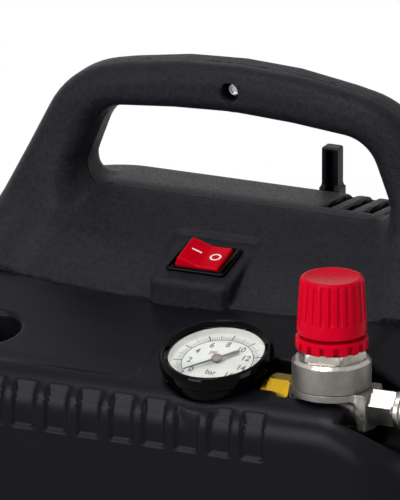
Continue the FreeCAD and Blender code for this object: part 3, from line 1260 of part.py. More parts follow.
def motor_bracket(y, direction):
    """End bracket with bearing seat and legs to the base plate."""
    outer = STATOR_RADIUS + 3.0
    low = y if direction > 0 else y - BRACKET_THICKNESS
    disc = rod(outer, (MOTOR_X, low, SHAFT_Z), Y_AXIS, BRACKET_THICKNESS)
    legs = box(MOTOR_X - outer, MOTOR_X + outer, low, low + BRACKET_THICKNESS, BASE_TOP, SHAFT_Z)
    flange = box(MOTOR_X - outer, MOTOR_X + outer, low - 6, low + BRACKET_THICKNESS + 6,
                 BASE_TOP, BASE_TOP + 4)
    reach = abs(y - (STATOR_FRONT_Y if direction < 0 else STATOR_REAR_Y))
    arms = []
    for side in (-1, 1):
        x = MOTOR_X + side * (STATOR_RADIUS - 1.0)
        start = low + BRACKET_THICKNESS if direction < 0 else low - reach
        arms.append(box(x - 3, x + 3, start, start + reach, SHAFT_Z - 8, SHAFT_Z + 8))
    solid = fused([disc, legs, flange] + arms)
    hub = rod(MOTOR_SHAFT_RADIUS + BEARING_WALL, (MOTOR_X, -200, SHAFT_Z), Y_AXIS, 400)
    solid = solid.cut(hub)
    for angle in range(0, 360, 60):
        hole = rod(7.0, (MOTOR_X + 26 * math.cos(math.radians(angle)), -200,
                         SHAFT_Z + 26 * math.sin(math.radians(angle))), Y_AXIS, 400)
        solid = solid.cut(hole)
    return solid


def bearing(x, y, shaft_radius):
    """A ball bearing drawn as one ring, centred on the shaft line."""
    return pipe(shaft_radius + BEARING_WALL, shaft_radius + RUNNING,
                (x, y, SHAFT_Z), Y_AXIS, BEARING_WIDTH)


def motor_bearings():
    """Bearings in the two brackets."""
    front = FRONT_BRACKET_Y - BRACKET_THICKNESS / 2 - BEARING_WIDTH / 2
    rear = REAR_BRACKET_Y + BRACKET_THICKNESS / 2 - BEARING_WIDTH / 2
    return [bearing(MOTOR_X, front, MOTOR_SHAFT_RADIUS), bearing(MOTOR_X, rear, MOTOR_SHAFT_RADIUS)]


def motor_rotor():
    """Armature: stack, commutator and shaft."""
    end = BELT_Y + BELT_WIDTH / 2 + PULLEY_FLANGE + 3.0
    shaft = rod(MOTOR_SHAFT_RADIUS, (MOTOR_X, MOTOR_SHAFT_FRONT_Y, SHAFT_Z), Y_AXIS,
                end - MOTOR_SHAFT_FRONT_Y)
    stack = rod(ROTOR_RADIUS, (MOTOR_X, STATOR_FRONT_Y, SHAFT_Z), Y_AXIS, STATOR_LENGTH)
    for index in range(12):
        angle = 2 * math.pi * index / 12
        slot = rod(1.4, (MOTOR_X + (ROTOR_RADIUS - 0.6) * math.cos(angle), -100,
                         SHAFT_Z + (ROTOR_RADIUS - 0.6) * math.sin(angle)), Y_AXIS, 200)
        stack = stack.cut(slot)
    overhang = rod(ROTOR_RADIUS - 4.0, (MOTOR_X, STATOR_FRONT_Y - 3, SHAFT_Z), Y_AXIS,
                   STATOR_LENGTH + 6)
    commutator = rod(COMMUTATOR_RADIUS, (MOTOR_X, STATOR_REAR_Y + 3, SHAFT_Z), Y_AXIS,
                     COMMUTATOR_LENGTH + 1.0)
    return fused([shaft, stack, overhang, commutator])


def motor_brushes():
    """Carbon brushes in their holders, held by the rear bracket's arms."""
    parts = []
    y = STATOR_REAR_Y + WINDING_DEPTH + 6.0
    for side in (-1, 1):
        inner = COMMUTATOR_RADIUS + FREE
        outer = STATOR_RADIUS - 4.0
        low, high = sorted((MOTOR_X + side * inner, MOTOR_X + side * outer))
        parts.append(box(low, high, y - 3, y + 3, SHAFT_Z - 3.5, SHAFT_Z + 3.5))
    return parts


def motor_fan():
    """Cooling fan on the front end of the motor shaft."""
    start = FRONT_BRACKET_Y - BRACKET_THICKNESS - FAN_WIDTH - 4.0
    hub = rod(MOTOR_SHAFT_RADIUS + 4.0, (MOTOR_X, start, SHAFT_Z), Y_AXIS, FAN_WIDTH)
    disc = rod(FAN_RADIUS, (MOTOR_X, start, SHAFT_Z), Y_AXIS, 1.6)
    blades = []
    for index in range(FAN_BLADES):
        blade = box(MOTOR_SHAFT_RADIUS + 3.5, FAN_RADIUS, start + 1.0, start + FAN_WIDTH, -0.8, 0.8)
        blade.rotate(Vector(0, 0, 0), Y_AXIS, 360.0 * index / FAN_BLADES)
        blade.translate(Vector(MOTOR_X, 0, SHAFT_Z))
        blades.append(blade)
    solid = fused([hub, disc] + blades)
    return solid.cut(rod(MOTOR_SHAFT_RADIUS, (MOTOR_X, -200, SHAFT_Z), Y_AXIS, 400))


def pulley(x, radius, shaft_radius):
    """Flanged ribbed pulley in the belt plane."""
    half = BELT_WIDTH / 2
    low = BELT_Y - half - PULLEY_FLANGE - FREE
    width = BELT_WIDTH + 2 * PULLEY_FLANGE + 2 * FREE
    body = rod(radius, (x, low, SHAFT_Z), Y_AXIS, width)
    for y in (low, low + width - PULLEY_FLANGE):
        body = body.fuse(rod(radius + BELT_THICKNESS - 0.4, (x, y, SHAFT_Z), Y_AXIS, PULLEY_FLANGE))
    return body.cut(rod(shaft_radius, (x, -200, SHAFT_Z), Y_AXIS, 400))


def motor_pulley():
    """Small pulley on the motor shaft."""
    return pulley(MOTOR_X, MOTOR_PULLEY_RADIUS, MOTOR_SHAFT_RADIUS)


def crank_pulley():
    """Large pulley, lightened by round holes."""
    wheel = pulley(CRANK_X, CRANK_PULLEY_RADIUS, CRANK_SHAFT_RADIUS)
    for angle in range(0, 360, 60):
        reach = (CRANK_PULLEY_RADIUS + CRANK_SHAFT_RADIUS) / 2
        hole = rod(7.5, (CRANK_X + reach * math.cos(math.radians(angle)), -200,
                         SHAFT_Z + reach * math.sin(math.radians(angle))), Y_AXIS, 400)
        wheel = wheel.cut(hole)
    return wheel


def belt_loop(extra):
    """Solid bounded by a loop round both pulleys, a given distance off them."""
    small = MOTOR_PULLEY_RADIUS + extra
    large = CRANK_PULLEY_RADIUS + extra
    gap = CRANK_X - MOTOR_X
    lean = math.asin((large - small) / gap)
    sin_a = math.sin(lean)
    cos_a = math.cos(lean)
    y = BELT_Y - BELT_WIDTH / 2
    upper_small = Vector(MOTOR_X - small * sin_a, y, SHAFT_Z + small * cos_a)
    lower_small = Vector(MOTOR_X - small * sin_a, y, SHAFT_Z - small * cos_a)
    upper_large = Vector(CRANK_X - large * sin_a, y, SHAFT_Z + large * cos_a)
    lower_large = Vector(CRANK_X - large * sin_a, y, SHAFT_Z - large * cos_a)
    edges = [Part.LineSegment(upper_small, upper_large).toShape(),
             Part.Arc(upper_large, Vector(CRANK_X + large, y, SHAFT_Z), lower_large).toShape(),
             Part.LineSegment(lower_large, lower_small).toShape(),
             Part.Arc(lower_small, Vector(MOTOR_X - small, y, SHAFT_Z), upper_small).toShape()]
    return Part.Face(Part.Wire(edges)).extrude(Vector(0, BELT_WIDTH, 0))


def drive_belt():
    """Ribbed belt between the pulleys."""
    return belt_loop(RUNNING + BELT_THICKNESS).cut(belt_loop(RUNNING))


# ---- pump
def crankcase():
    """Open box that holds the crank bearings and the cylinder."""
    half = CRANKCASE_HALF
    outer = box(CRANK_X - half, CRANK_X + half, CRANKCASE_FRONT_Y, CRANKCASE_REAR_Y, BASE_TOP,
                CRANKCASE_TOP_Z)
    w = CRANKCASE_WALL
    back_wall = CRANK_DISC_Y + CRANK_DISC_THICKNESS + 3.0
    hollow = box(CRANK_X - half + w, CRANK_X + half - w, CRANKCASE_FRONT_Y - 1, back_wall,
                 SHAFT_Z - half + 2, CRANKCASE_TOP_Z - w)
    solid = outer.cut(hollow)
    solid = solid.cut(rod(CYLINDER_BORE + CYLINDER_WALL, (CRANK_X, PISTON_AXIS_Y, 0), Z_AXIS, 400)
                      .common(box(-300, 300, -300, 300, CRANKCASE_TOP_Z - w - 1, 400)))
    solid = solid.cut(rod(CRANK_SHAFT_RADIUS + BEARING_WALL, (CRANK_X, -200, SHAFT_Z), Y_AXIS, 400))
    under = box(CRANK_X - half + w, CRANK_X + half - w, CRANKCASE_FRONT_Y - 1, CRANKCASE_REAR_Y - w,
                BASE_TOP + w, SHAFT_Z - half - 2)
    return solid.cut(under)


def crank_bearings():
    """Two bearings in the rear wall of the crankcase."""
    first = CRANK_DISC_Y + CRANK_DISC_THICKNESS + 3.5
    second = CRANKCASE_REAR_Y - BEARING_WIDTH
    return [bearing(CRANK_X, first, CRANK_SHAFT_RADIUS), bearing(CRANK_X, second, CRANK_SHAFT_RADIUS)]


def crankshaft():
    """Shaft, disc, counterweight and pin."""
    end = BELT_Y + BELT_WIDTH / 2 + PULLEY_FLANGE + 3.0
    shaft = rod(CRANK_SHAFT_RADIUS, (CRANK_X, CRANK_DISC_Y, SHAFT_Z), Y_AXIS, end - CRANK_DISC_Y)
    disc = rod(CRANK_DISC_RADIUS, (CRANK_X, CRANK_DISC_Y, SHAFT_Z), Y_AXIS, CRANK_DISC_THICKNESS)
    trim = box(CRANK_X - 40, CRANK_X - 11, CRANK_DISC_Y - 1, CRANK_DISC_Y + 30, SHAFT_Z + 2, SHAFT_Z + 60)
    other = box(CRANK_X + 11, CRANK_X + 40, CRANK_DISC_Y - 1, CRANK_DISC_Y + 30, SHAFT_Z + 2,
                SHAFT_Z + 60)
    pin = rod(CRANK_PIN_RADIUS, (CRANK_X, CRANK_DISC_Y - CRANK_PIN_LENGTH, SHAFT_Z + CRANK_THROW),
              Y_AXIS, CRANK_PIN_LENGTH + 1)
    return fused([disc.cut(trim).cut(other), shaft, pin])


def cylinder():
    """Finned cylinder."""
    outer = CYLINDER_BORE + CYLINDER_WALL
    base = (CRANK_X, PISTON_AXIS_Y, CRANKCASE_TOP_Z - CRANKCASE_WALL)
    tube_height = CYLINDER_HEIGHT + CRANKCASE_WALL
    parts = [rod(outer, base, Z_AXIS, tube_height)]
    pitch = CYLINDER_HEIGHT / (FIN_COUNT + 0.5)
    for index in range(FIN_COUNT):
        z = CRANKCASE_TOP_Z + pitch * (index + 0.6)
        parts.append(rod(outer + FIN_REACH, (CRANK_X, PISTON_AXIS_Y, z), Z_AXIS, FIN_THICKNESS))
    flange = box(CRANK_X - HEAD_HALF, CRANK_X + HEAD_HALF, PISTON_AXIS_Y - HEAD_HALF,
                 PISTON_AXIS_Y + HEAD_HALF, HEAD_PLATE_Z - 5, HEAD_PLATE_Z)
    solid = fused(parts + [flange])
    for x, y in head_bolt_places():
        solid = solid.cut(rod(HEAD_BOLT_RADIUS, (x, y, HEAD_PLATE_Z - 5), Z_AXIS, 6))
    return solid.cut(rod(CYLINDER_BORE, (CRANK_X, PISTON_AXIS_Y, 0), Z_AXIS, 400))


def head_bolt_places():
    """Four corners of the cylinder head."""
    reach = HEAD_HALF - HEAD_BOLT_INSET
    return [(CRANK_X + sx * reach, PISTON_AXIS_Y + sy * reach) for sx in (-1, 1) for sy in (-1, 1)]


def piston():
    """Piston disc with its rod, at top dead centre."""
    radius = CYLINDER_BORE - RUNNING
    disc = rod(radius, (CRANK_X, PISTON_AXIS_Y, PISTON_REST_Z), Z_AXIS,
               PISTON_HEIGHT - CUP_SEAL_THICKNESS)
    eye_z = SHAFT_Z + CRANK_THROW
    y = PISTON_AXIS_Y - ROD_THICKNESS / 2
    eye = rod(ROD_EYE_RADIUS, (CRANK_X, y, eye_z), Y_AXIS, ROD_THICKNESS)
    web = box(CRANK_X - 5, CRANK_X + 5, y, y + ROD_THICKNESS, eye_z, PISTON_REST_Z + 1)
    bore = rod(CRANK_PIN_RADIUS + RUNNING, (CRANK_X, -200, eye_z), Y_AXIS, 400)
    return fused([disc, eye, web]).cut(bore)


def piston_cup():
    """Seal cup on top of the piston."""
    low = PISTON_REST_Z + PISTON_HEIGHT - CUP_SEAL_THICKNESS
    return rod(CYLINDER_BORE - RUNNING, (CRANK_X, PISTON_AXIS_Y, low), Z_AXIS, CUP_SEAL_THICKNESS)


def head_block(z0, z1):
    """A square block over the cylinder with the bolt holes."""
    block = box(CRANK_X - HEAD_HALF, CRANK_X + HEAD_HALF, PISTON_AXIS_Y - HEAD_HALF,
                PISTON_AXIS_Y + HEAD_HALF, z0, z1)
    for x, y in head_bolt_places():
        block = block.cut(rod(HEAD_BOLT_RADIUS, (x, y, z0 - 1), Z_AXIS, z1 - z0 + 2))
    return block


def valve_plate():
    """Plate with inlet and outlet ports."""
    plate = head_block(HEAD_PLATE_Z, HEAD_PLATE_Z + VALVE_PLATE_THICKNESS)
    for side in (-1, 1):
        plate = plate.cut(rod(2.5, (CRANK_X + side * 8, PISTON_AXIS_Y, HEAD_PLATE_Z - 1), Z_AXIS, 9))
    return plate


def cylinder_head():
    """Cooled head with two chambers."""
    low = HEAD_PLATE_Z + VALVE_PLATE_THICKNESS
    solid = head_block(low, low + HEAD_HEIGHT)
    for side in (-1, 1):
        x = CRANK_X + side * 9.5
        solid = solid.cut(box(x - 7.5, x + 7.5, PISTON_AXIS_Y - 14, PISTON_AXIS_Y + 14, low - 1, low + 10))
    for index in range(5):
        x = CRANK_X - 20 + index * 10
        solid = solid.cut(box(x - 2.2, x + 2.2, -200, PISTON_AXIS_Y + 60, low + 14, low + 40)
                          .cut(rod(SAFETY_RADIUS + 3.0, (CRANK_X, PISTON_AXIS_Y, 0), Z_AXIS, 400)))
    out_z = low + PORT_RISE
    solid = solid.cut(rod(SAFETY_RADIUS, (CRANK_X, PISTON_AXIS_Y, low + HEAD_HEIGHT - SAFETY_SPIGOT),
                          Z_AXIS, 60))
    solid = solid.cut(rod(TUBE_RADIUS, (CRANK_X + 10, PISTON_AXIS_Y, out_z), X_AXIS, 60))
    return solid.cut(rod(5.0, (CRANK_X - 70, PISTON_AXIS_Y, out_z), X_AXIS, 60))


def head_bolts():
    """Bolts through head, plate and flange."""
    low = HEAD_PLATE_Z + VALVE_PLATE_THICKNESS
    return [screw((x, y, low + HEAD_HEIGHT), Z_AXIS * -1, HEAD_HEIGHT + VALVE_PLATE_THICKNESS + 4,
                  HEAD_BOLT_RADIUS, 4.2) for x, y in head_bolt_places()]


def intake_filter():
    """Small intake filter on the head."""
    z = HEAD_PLATE_Z + VALVE_PLATE_THICKNESS + PORT_RISE
    x = CRANK_X - HEAD_HALF
    neck = pipe(5.0, 3.2, (x - 6, PISTON_AXIS_Y, z), X_AXIS, 12)
    can = pipe(11.0, 3.2, (x - 22, PISTON_AXIS_Y, z), X_AXIS, 16)
    return can.fuse(neck)


def bent_tube(points, bend, radius):
    """A round bar along straight runs joined by tangent arcs."""
    edges = []
    last = points[0]
    for index in range(1, len(points) - 1):
        corner = points[index]
        back = (points[index - 1] - corner).normalize()
        ahead = (points[index + 1] - corner).normalize()
        half = back.getAngle(ahead) / 2.0
        reach = bend / math.tan(half)
        middle = (back + ahead).normalize()
        centre = corner + middle * (bend / math.sin(half))
        edges.append(Part.LineSegment(last, corner + back * reach).toShape())
        edges.append(Part.Arc(corner + back * reach, centre - middle * bend,
                              corner + ahead * reach).toShape())
        last = corner + ahead * reach
    edges.append(Part.LineSegment(last, points[-1]).toShape())
    path = Part.Wire(edges)
    start_direction = points[1] - points[0]
    profile = Part.Wire(Part.makeCircle(radius, points[0], start_direction))
    return path.makePipeShell([profile], True, False)


def outlet_tube():
    """Air pipe from the head to the regulator's inlet."""
    z = HEAD_PLATE_Z + VALVE_PLATE_THICKNESS + PORT_RISE
    start = Vector(CRANK_X + HEAD_HALF - 3.0, PISTON_AXIS_Y, z)
    drop = WELL_FLOOR_Z - WALL - 22.0
    inlet_z = WELL_FLOOR_Z - WALL - INLET_DROP
    points = [start, Vector(REG_X, PISTON_AXIS_Y, z), Vector(REG_X, PISTON_AXIS_Y, drop - 18.0),
              Vector(REG_X, REG_Y, drop - 18.0), Vector(REG_X, REG_Y, inlet_z + 4.0)]
    return bent_tube(points, TUBE_BEND, TUBE_RADIUS)


def safety_valve():
    """Brass relief valve on the head."""
    top = HEAD_PLATE_Z + VALVE_PLATE_THICKNESS + HEAD_HEIGHT
    base = rod(SAFETY_RADIUS, (CRANK_X, PISTON_AXIS_Y, top - SAFETY_SPIGOT), Z_AXIS, SAFETY_SPIGOT)
    nut = hexagon(12.0, (CRANK_X, PISTON_AXIS_Y, top), Z_AXIS, 5.0)
    return fused([base, nut, rod(4.0, (CRANK_X, PISTON_AXIS_Y, top + 5.0), Z_AXIS, 6.0)])


# ---- hooks and cord inlet
def hook(root_z, upward):
    """Cord hook: a channel section arm with an upright end, facing the handle."""
    start = HALF_D
    end = HALF_D + HOOK_REACH
    half = HOOK_WIDTH / 2
    t = HOOK_THICKNESS
    arm = box(HOOK_X - half, HOOK_X + half, start, end, 0, HOOK_DEPTH)
    post = box(HOOK_X - half, HOOK_X + half, end - HOOK_DEPTH, end, 0, HOOK_HEIGHT)
    groove = box(HOOK_X - half + t, HOOK_X + half - t, start - 1, end - t, t, HOOK_HEIGHT)
    inner = box(HOOK_X - half + t, HOOK_X + half - t, start - 1, end - HOOK_DEPTH, HOOK_DEPTH, 60)
    cap = box(HOOK_X - half, HOOK_X + half, end - HOOK_DEPTH, end, HOOK_HEIGHT - t, HOOK_HEIGHT)
    wing = 2.0 * SCREW_HEAD_RADIUS
    plate = box(HOOK_X - half - wing, HOOK_X + half + wing, start, start + HOOK_PLATE, -7, 7)
    solid = fused([arm, post]).cut(groove).cut(inner)
    solid = fused([solid, cap, plate])
    for side in (-1, 1):
        solid = solid.cut(rod(SCREW_RADIUS, (HOOK_X + side * (half + SCREW_HEAD_RADIUS), start - 1, 0),
                              Y_AXIS, HOOK_PLATE + 2))
    if not upward:
        solid = solid.mirror(Vector(0, 0, 0), Z_AXIS)
    solid.translate(Vector(0, 0, root_z))
    return solid


def hook_screw_places():
    """Where both hooks are screwed on."""
    reach = HOOK_WIDTH / 2 + SCREW_HEAD_RADIUS
    return [(HOOK_X + side * reach, z) for z in (HOOK_ARM_Z - HOOK_DEPTH, LOWER_HOOK_Z)
            for side in (-1, 1)]


def hook_screws():
    """Screws of both hooks."""
    return [screw((x, HALF_D + HOOK_PLATE, z), Y_AXIS * -1, 8.0) for x, z in hook_screw_places()]


def cord_gland():
    """Rubber grommet where the mains lead enters."""
    start = HALF_D - WALL - 3.0
    solid = turned([(GLAND_BORE, 0), (GLAND_RADIUS, 0), (GLAND_RADIUS, 3.0), (GLAND_RADIUS - 2.0, 3.0),
                    (GLAND_RADIUS - 2.0, 3.0 + WALL), (GLAND_RADIUS, 3.0 + WALL),
                    (GLAND_RADIUS, 6.0 + WALL), (GLAND_BORE + 1.6, 3.0 + GLAND_LENGTH),
                    (GLAND_BORE, 3.0 + GLAND_LENGTH)], (GLAND_X, start, GLAND_Z), Y_AXIS)
    return solid


PORT_Z = GAUGE_Z - GAUGE_PORT_DROP
CUP_FLOOR_Z = FRONT_EDGE_Z + (CUP_Y + HALF_D) * PANEL_SLOPE - CUP_DEPTH
OUTER = outer_form()
SHELL = OUTER.cut(inner_form())

PIECES = {
    "front_cover": front_cover,
    "handle_shell": handle_shell,
    "rear_shell": rear_shell,
    "base_plate": base_plate,
    "case_screws": case_screws,
    "rubber_feet": lambda: [foot(x, y) for x, y in foot_places()] + [centre_foot()],
    "foot_screws": foot_screws,
    "switch_housing": switch_housing,
    "switch_rocker": switch_rocker,
    "switch_terminals": switch_terminals,
    "gauge_case": gauge_case,
    "gauge_bezel": gauge_bezel,
    "gauge_lens": gauge_lens,
    "gauge_dial": gauge_dial,
    "gauge_pointer": gauge_pointer,
    "gauge_movement": gauge_movement,
    "gauge_bourdon_tube": bourdon_tube,
    "gauge_stem": gauge_stem,
    "regulator_body": regulator_body,
    "regulator_diaphragm": regulator_diaphragm,
    "regulator_valve": regulator_valve,
    "regulator_bonnet": regulator_bonnet,
    "regulator_spindle": regulator_spindle,
    "regulator_spring_seat": regulator_spring_seat,
    "regulator_spring": regulator_spring,
    "regulator_lock_ring": regulator_lock_ring,
    "regulator_knob": regulator_knob,
    "coupler_adapter": coupler_adapter,
    "coupler_body": coupler_body,
    "coupler_balls": coupler_balls,
    "coupler_sleeve": coupler_sleeve,
    "coupler_spring": coupler_spring,
    "coupler_valve": coupler_valve,
    "coupler_seal": coupler_seal,
    "motor_stator": motor_stator,
    "motor_windings": motor_windings,
    "motor_bracket_front": lambda: motor_bracket(FRONT_BRACKET_Y, -1),
    "motor_bracket_rear": lambda: motor_bracket(REAR_BRACKET_Y, 1),
    "motor_bearings": motor_bearings,
    "motor_rotor": motor_rotor,
    "motor_brushes": motor_brushes,
    "motor_fan": motor_fan,
    "motor_pulley": motor_pulley,
    "drive_belt": drive_belt,
    "crank_pulley": crank_pulley,
    "crankcase": crankcase,
    "crank_bearings": crank_bearings,
    "crankshaft": crankshaft,
    "cylinder": cylinder,
    "piston": piston,
    "piston_cup": piston_cup,
    "valve_plate": valve_plate,
    "cylinder_head": cylinder_head,
    "head_bolts": head_bolts,
    "intake_filter": intake_filter,
    "outlet_tube": outlet_tube,
    "safety_valve": safety_valve,
    "cord_hooks": lambda: [hook(HOOK_ARM_Z - HOOK_DEPTH, True), hook(LOWER_HOOK_Z, False)],
    "hook_screws": hook_screws,
    "cord_gland": cord_gland,
}

os.makedirs("parts", exist_ok=True)
for name, make in PIECES.items():
    made = make()
    shape = Part.Compound(made) if isinstance(made, list) else made
    if len(shape.Solids) == 1:
        shape = shape.Solids[0]
    shape.exportStep("parts/" + name + ".step")
    print(name, len(shape.Solids), shape.isValid(), round(shape.Volume, 1))
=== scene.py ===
import json
import math

import bmesh
import bpy
import numpy as np
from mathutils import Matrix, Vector


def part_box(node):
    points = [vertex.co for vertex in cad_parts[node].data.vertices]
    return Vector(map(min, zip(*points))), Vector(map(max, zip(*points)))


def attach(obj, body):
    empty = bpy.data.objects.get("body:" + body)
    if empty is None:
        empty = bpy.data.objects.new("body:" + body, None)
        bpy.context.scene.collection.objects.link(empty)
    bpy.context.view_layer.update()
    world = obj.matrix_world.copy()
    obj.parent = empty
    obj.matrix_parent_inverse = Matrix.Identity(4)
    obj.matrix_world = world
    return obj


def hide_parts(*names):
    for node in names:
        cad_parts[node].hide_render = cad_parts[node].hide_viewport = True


# Portable oil-free air compressor.  Lengths are worked out in millimetres and turned to metres
# where a mesh is made.  +X right, +Y back, +Z up; the origin is under the middle of the housing.
MM = 0.001

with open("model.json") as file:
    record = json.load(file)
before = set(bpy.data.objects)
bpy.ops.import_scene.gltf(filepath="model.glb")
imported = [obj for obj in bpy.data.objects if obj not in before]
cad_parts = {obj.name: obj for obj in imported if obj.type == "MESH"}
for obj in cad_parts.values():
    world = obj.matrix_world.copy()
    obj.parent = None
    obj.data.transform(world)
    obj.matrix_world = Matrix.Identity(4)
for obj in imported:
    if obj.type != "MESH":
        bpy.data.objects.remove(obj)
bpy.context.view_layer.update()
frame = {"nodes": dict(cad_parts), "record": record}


def corners(node):
    """Lowest and highest corner of a CAD node, in millimetres."""
    low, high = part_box(node)
    return np.array(low) / MM, np.array(high) / MM


# ---- places, read from the solids
rear_low, rear_high = corners("rear_shell")
knob_low, knob_high = corners("regulator_knob")
ring_low, ring_high = corners("regulator_lock_ring")
sleeve_low, sleeve_high = corners("coupler_sleeve")
bezel_low, bezel_high = corners("gauge_bezel")
stem_low, stem_high = corners("gauge_stem")
hook_low, hook_high = corners("cord_hooks")
gland_low, gland_high = corners("cord_gland")
screw_low, screw_high = corners("hook_screws")

HALF_W, _, CROWN = corners("handle_shell")[1]
FRONT = corners("front_cover")[0][1]
REAR = rear_high[1]
PARTING = rear_low[1]
BASE_TOP = corners("base_plate")[1][2]
LIP = CROWN - 69.5
REG_X, REG_Y = (knob_low[:2] + knob_high[:2]) / 2.0
COUPLER_Z = (sleeve_low[2] + sleeve_high[2]) / 2.0
DRUM_BASE = corners("regulator_bonnet")[0][2]

# ---- housing shape
CORNER = 36.0               # plan radius of the corners
WALL = 3.0
SEAM_Y = -14.5              # seam of the front cover, at the middle
SEAM_RADIUS = 714.0         # it bows back towards the sides
SEAM_GAP = 0.3
FRONT_EDGE = LIP - 57.0     # where front face and panel would meet
PANEL_TILT = math.radians(15.3)
PANEL_RISE = math.tan(PANEL_TILT)
FACE_RISE = math.tan(math.radians(37.0))
FACET_X = HALF_W - 50.0     # crease of the side facets
FACET_FALL = 0.5
SCOOP_FRONT = 15.0
CREST_Y = PARTING + 5.0
CREST = LIP + 2.0
LEDGE_FALL = math.tan(math.radians(8.6))
BAR_FRONT = 31.5
BAR_DEPTH = 28.0
BAR_HEIGHT = 24.5
SEAM_Z = FRONT_EDGE + (SEAM_Y - FRONT) * PANEL_RISE
SWITCH_Y = 3.5
PAD_Z = SEAM_Z + 16.5       # pedestal top under the switch
PAD_TILT = math.radians(15.0)
PAD_RISE = math.tan(PAD_TILT)
PAD_FLOOR = SEAM_Z - 12.0   # level down to which the pedestal belongs to the middle shell
PAD_HALF = 21.0
PAD_FRONT = -16.5
PAD_BACK = 21.5
GAUGE_X = (bezel_low[0] + bezel_high[0]) / 2.0
GAUGE_Y = -63.2
GAUGE_Z = FRONT_EDGE + (GAUGE_Y - FRONT) * PANEL_RISE
STEM_Z = (stem_low[2] + stem_high[2]) / 2.0
CUP_X = 70.0 - HALF_W
CUP_Y = -53.5
CUP_RADIUS = 13.0
BEZEL_RADIUS = 27.5
GAUGE_HOLE = 25.3
WELL_RADIUS = 25.0          # space round the regulator knob
TROUGH_RADIUS = 22.0        # space round the coupler
SCREW_HOLE = 2.2
SCREW_HEAD = 4.1            # counterbore of the case screws
BAR_WELL = 4.65             # counterbore of the screw in the handle bar
ROCKER_REST = math.radians(10.0)


# ---- shape tools
def smooth_max(a, b, k):
    """Larger of two distances, with the crossing rounded over a width k (radius about 0.85 k)."""
    h = np.clip(k - np.abs(a - b), 0.0, None) / k
    return np.maximum(a, b) + h * h * k / 4.0


def smooth_min(a, b, k):
    """Smaller of two distances, with the crossing filled in over a width k."""
    return -smooth_max(-a, -b, k)


def ease(t):
    """0 below t = 0, 1 above t = 1, and a smooth step between."""
    t = np.clip(t, 0.0, 1.0)
    return t * t * (3.0 - 2.0 * t)


def rounded(points, closed=True, step=6.0):
    """A polyline through corners (a, b) or (a, b, radius): a radius makes the corner an arc that
    touches both its sides."""
    out = []
    count = len(points)
    for index, (a, b, *bend) in enumerate(points):
        here = np.array([a, b], float)
        if not bend or bend[0] <= 0.0 or (not closed and index in (0, count - 1)):
            out.append(here)
            continue
        before = np.array(points[index - 1][:2], float) - here
        after = np.array(points[(index + 1) % count][:2], float) - here
        u, v = before / np.linalg.norm(before), after / np.linalg.norm(after)
        half = math.acos(max(-1.0, min(1.0, float(u @ v)))) / 2.0
        if half > math.radians(89.5):
            out.append(here)
            continue
        radius = bend[0]
        middle = here + (u + v) / np.linalg.norm(u + v) * radius / math.sin(half)
        start = here + u * radius / math.tan(half) - middle
        end = here + v * radius / math.tan(half) - middle
        turn = math.atan2(start[0] * end[1] - start[1] * end[0], start @ end)
        angles = np.linspace(0.0, turn, max(3, int(abs(math.degrees(turn)) / step) + 2))
        cosine, sine = np.cos(angles), np.sin(angles)
        arc = np.stack([start[0] * cosine - start[1] * sine, start[0] * sine + start[1] * cosine], 1)
        out.extend(arc + middle)
    return np.array(out)


def distance_table(points, margin=45.0, step=1.5):
    """Signed distance to a closed outline, negative inside, worked out once on a grid; the
    function returned reads it with bilinear weights."""
    line = rounded(points)
    low, high = line.min(0) - margin, line.max(0) + margin
    a = np.arange(low[0], high[0] + step, step)
    b = np.arange(low[1], high[1] + step, step)
    start, along = line, np.roll(line, -1, 0) - line
    pa, pb = a[:, None, None], b[None, :, None]
    t = (pa - start[:, 0]) * along[:, 0] + (pb - start[:, 1]) * along[:, 1]
    t = np.clip(t / ((along ** 2).sum(1) + 1e-12), 0.0, 1.0)
    gap = np.hypot(pa - start[:, 0] - t * along[:, 0], pb - start[:, 1] - t * along[:, 1]).min(2)
    rise = np.where(np.abs(along[:, 1]) < 1e-12, 1e-12, along[:, 1])
    spans = (start[:, 1] > pb) != (start[:, 1] + along[:, 1] > pb)
    hits = spans & (pa < start[:, 0] + (pb - start[:, 1]) / rise * along[:, 0])
    table = np.where(hits.sum(2) % 2 == 1, -gap, gap)

    def read(p, q):
        u = np.clip((p - low[0]) / step, 0.0, len(a) - 1.001)
        v = np.clip((q - low[1]) / step, 0.0, len(b) - 1.001)
        i, j = u.astype(int), v.astype(int)
        u, v = u - i, v - j
        return ((table[i, j] * (1 - u) + table[i + 1, j] * u) * (1 - v)
                + (table[i, j + 1] * (1 - u) + table[i + 1, j + 1] * u) * v)

    return read


def mirrored(points):
    """An outline given by its right half, top to bottom, completed on the left."""
    return points + [(-a, b, *bend) for a, b, *bend in reversed(points)]


def spaced(*stops):
    """Grid lines between stops: start, then (end, step) for each run."""
    lines = [np.array([stops[0]])]
    at = stops[0]
    for end, step in stops[1:]:
        count = max(1, int(round((end - at) / step)))
        lines.append(np.linspace(at, end, count + 1)[1:])
        at = end
    return np.concatenate(lines)


def dress(name, mesh, material, body="housing", node=(), slot=None, sharp=38.0):
    """Makes a mesh a finished piece: shading, material, body and the CAD nodes that it
    stands for.  The slot argument is not used."""
    mesh.shade_smooth()
    mesh.set_sharp_from_angle(angle=math.radians(sharp))
    mesh.materials.append(material)
    piece = bpy.data.objects.new(name, mesh)
    bpy.context.scene.collection.objects.link(piece)
    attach(piece, body)
    if node:
        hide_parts(*([node] if isinstance(node, str) else node))
    return piece


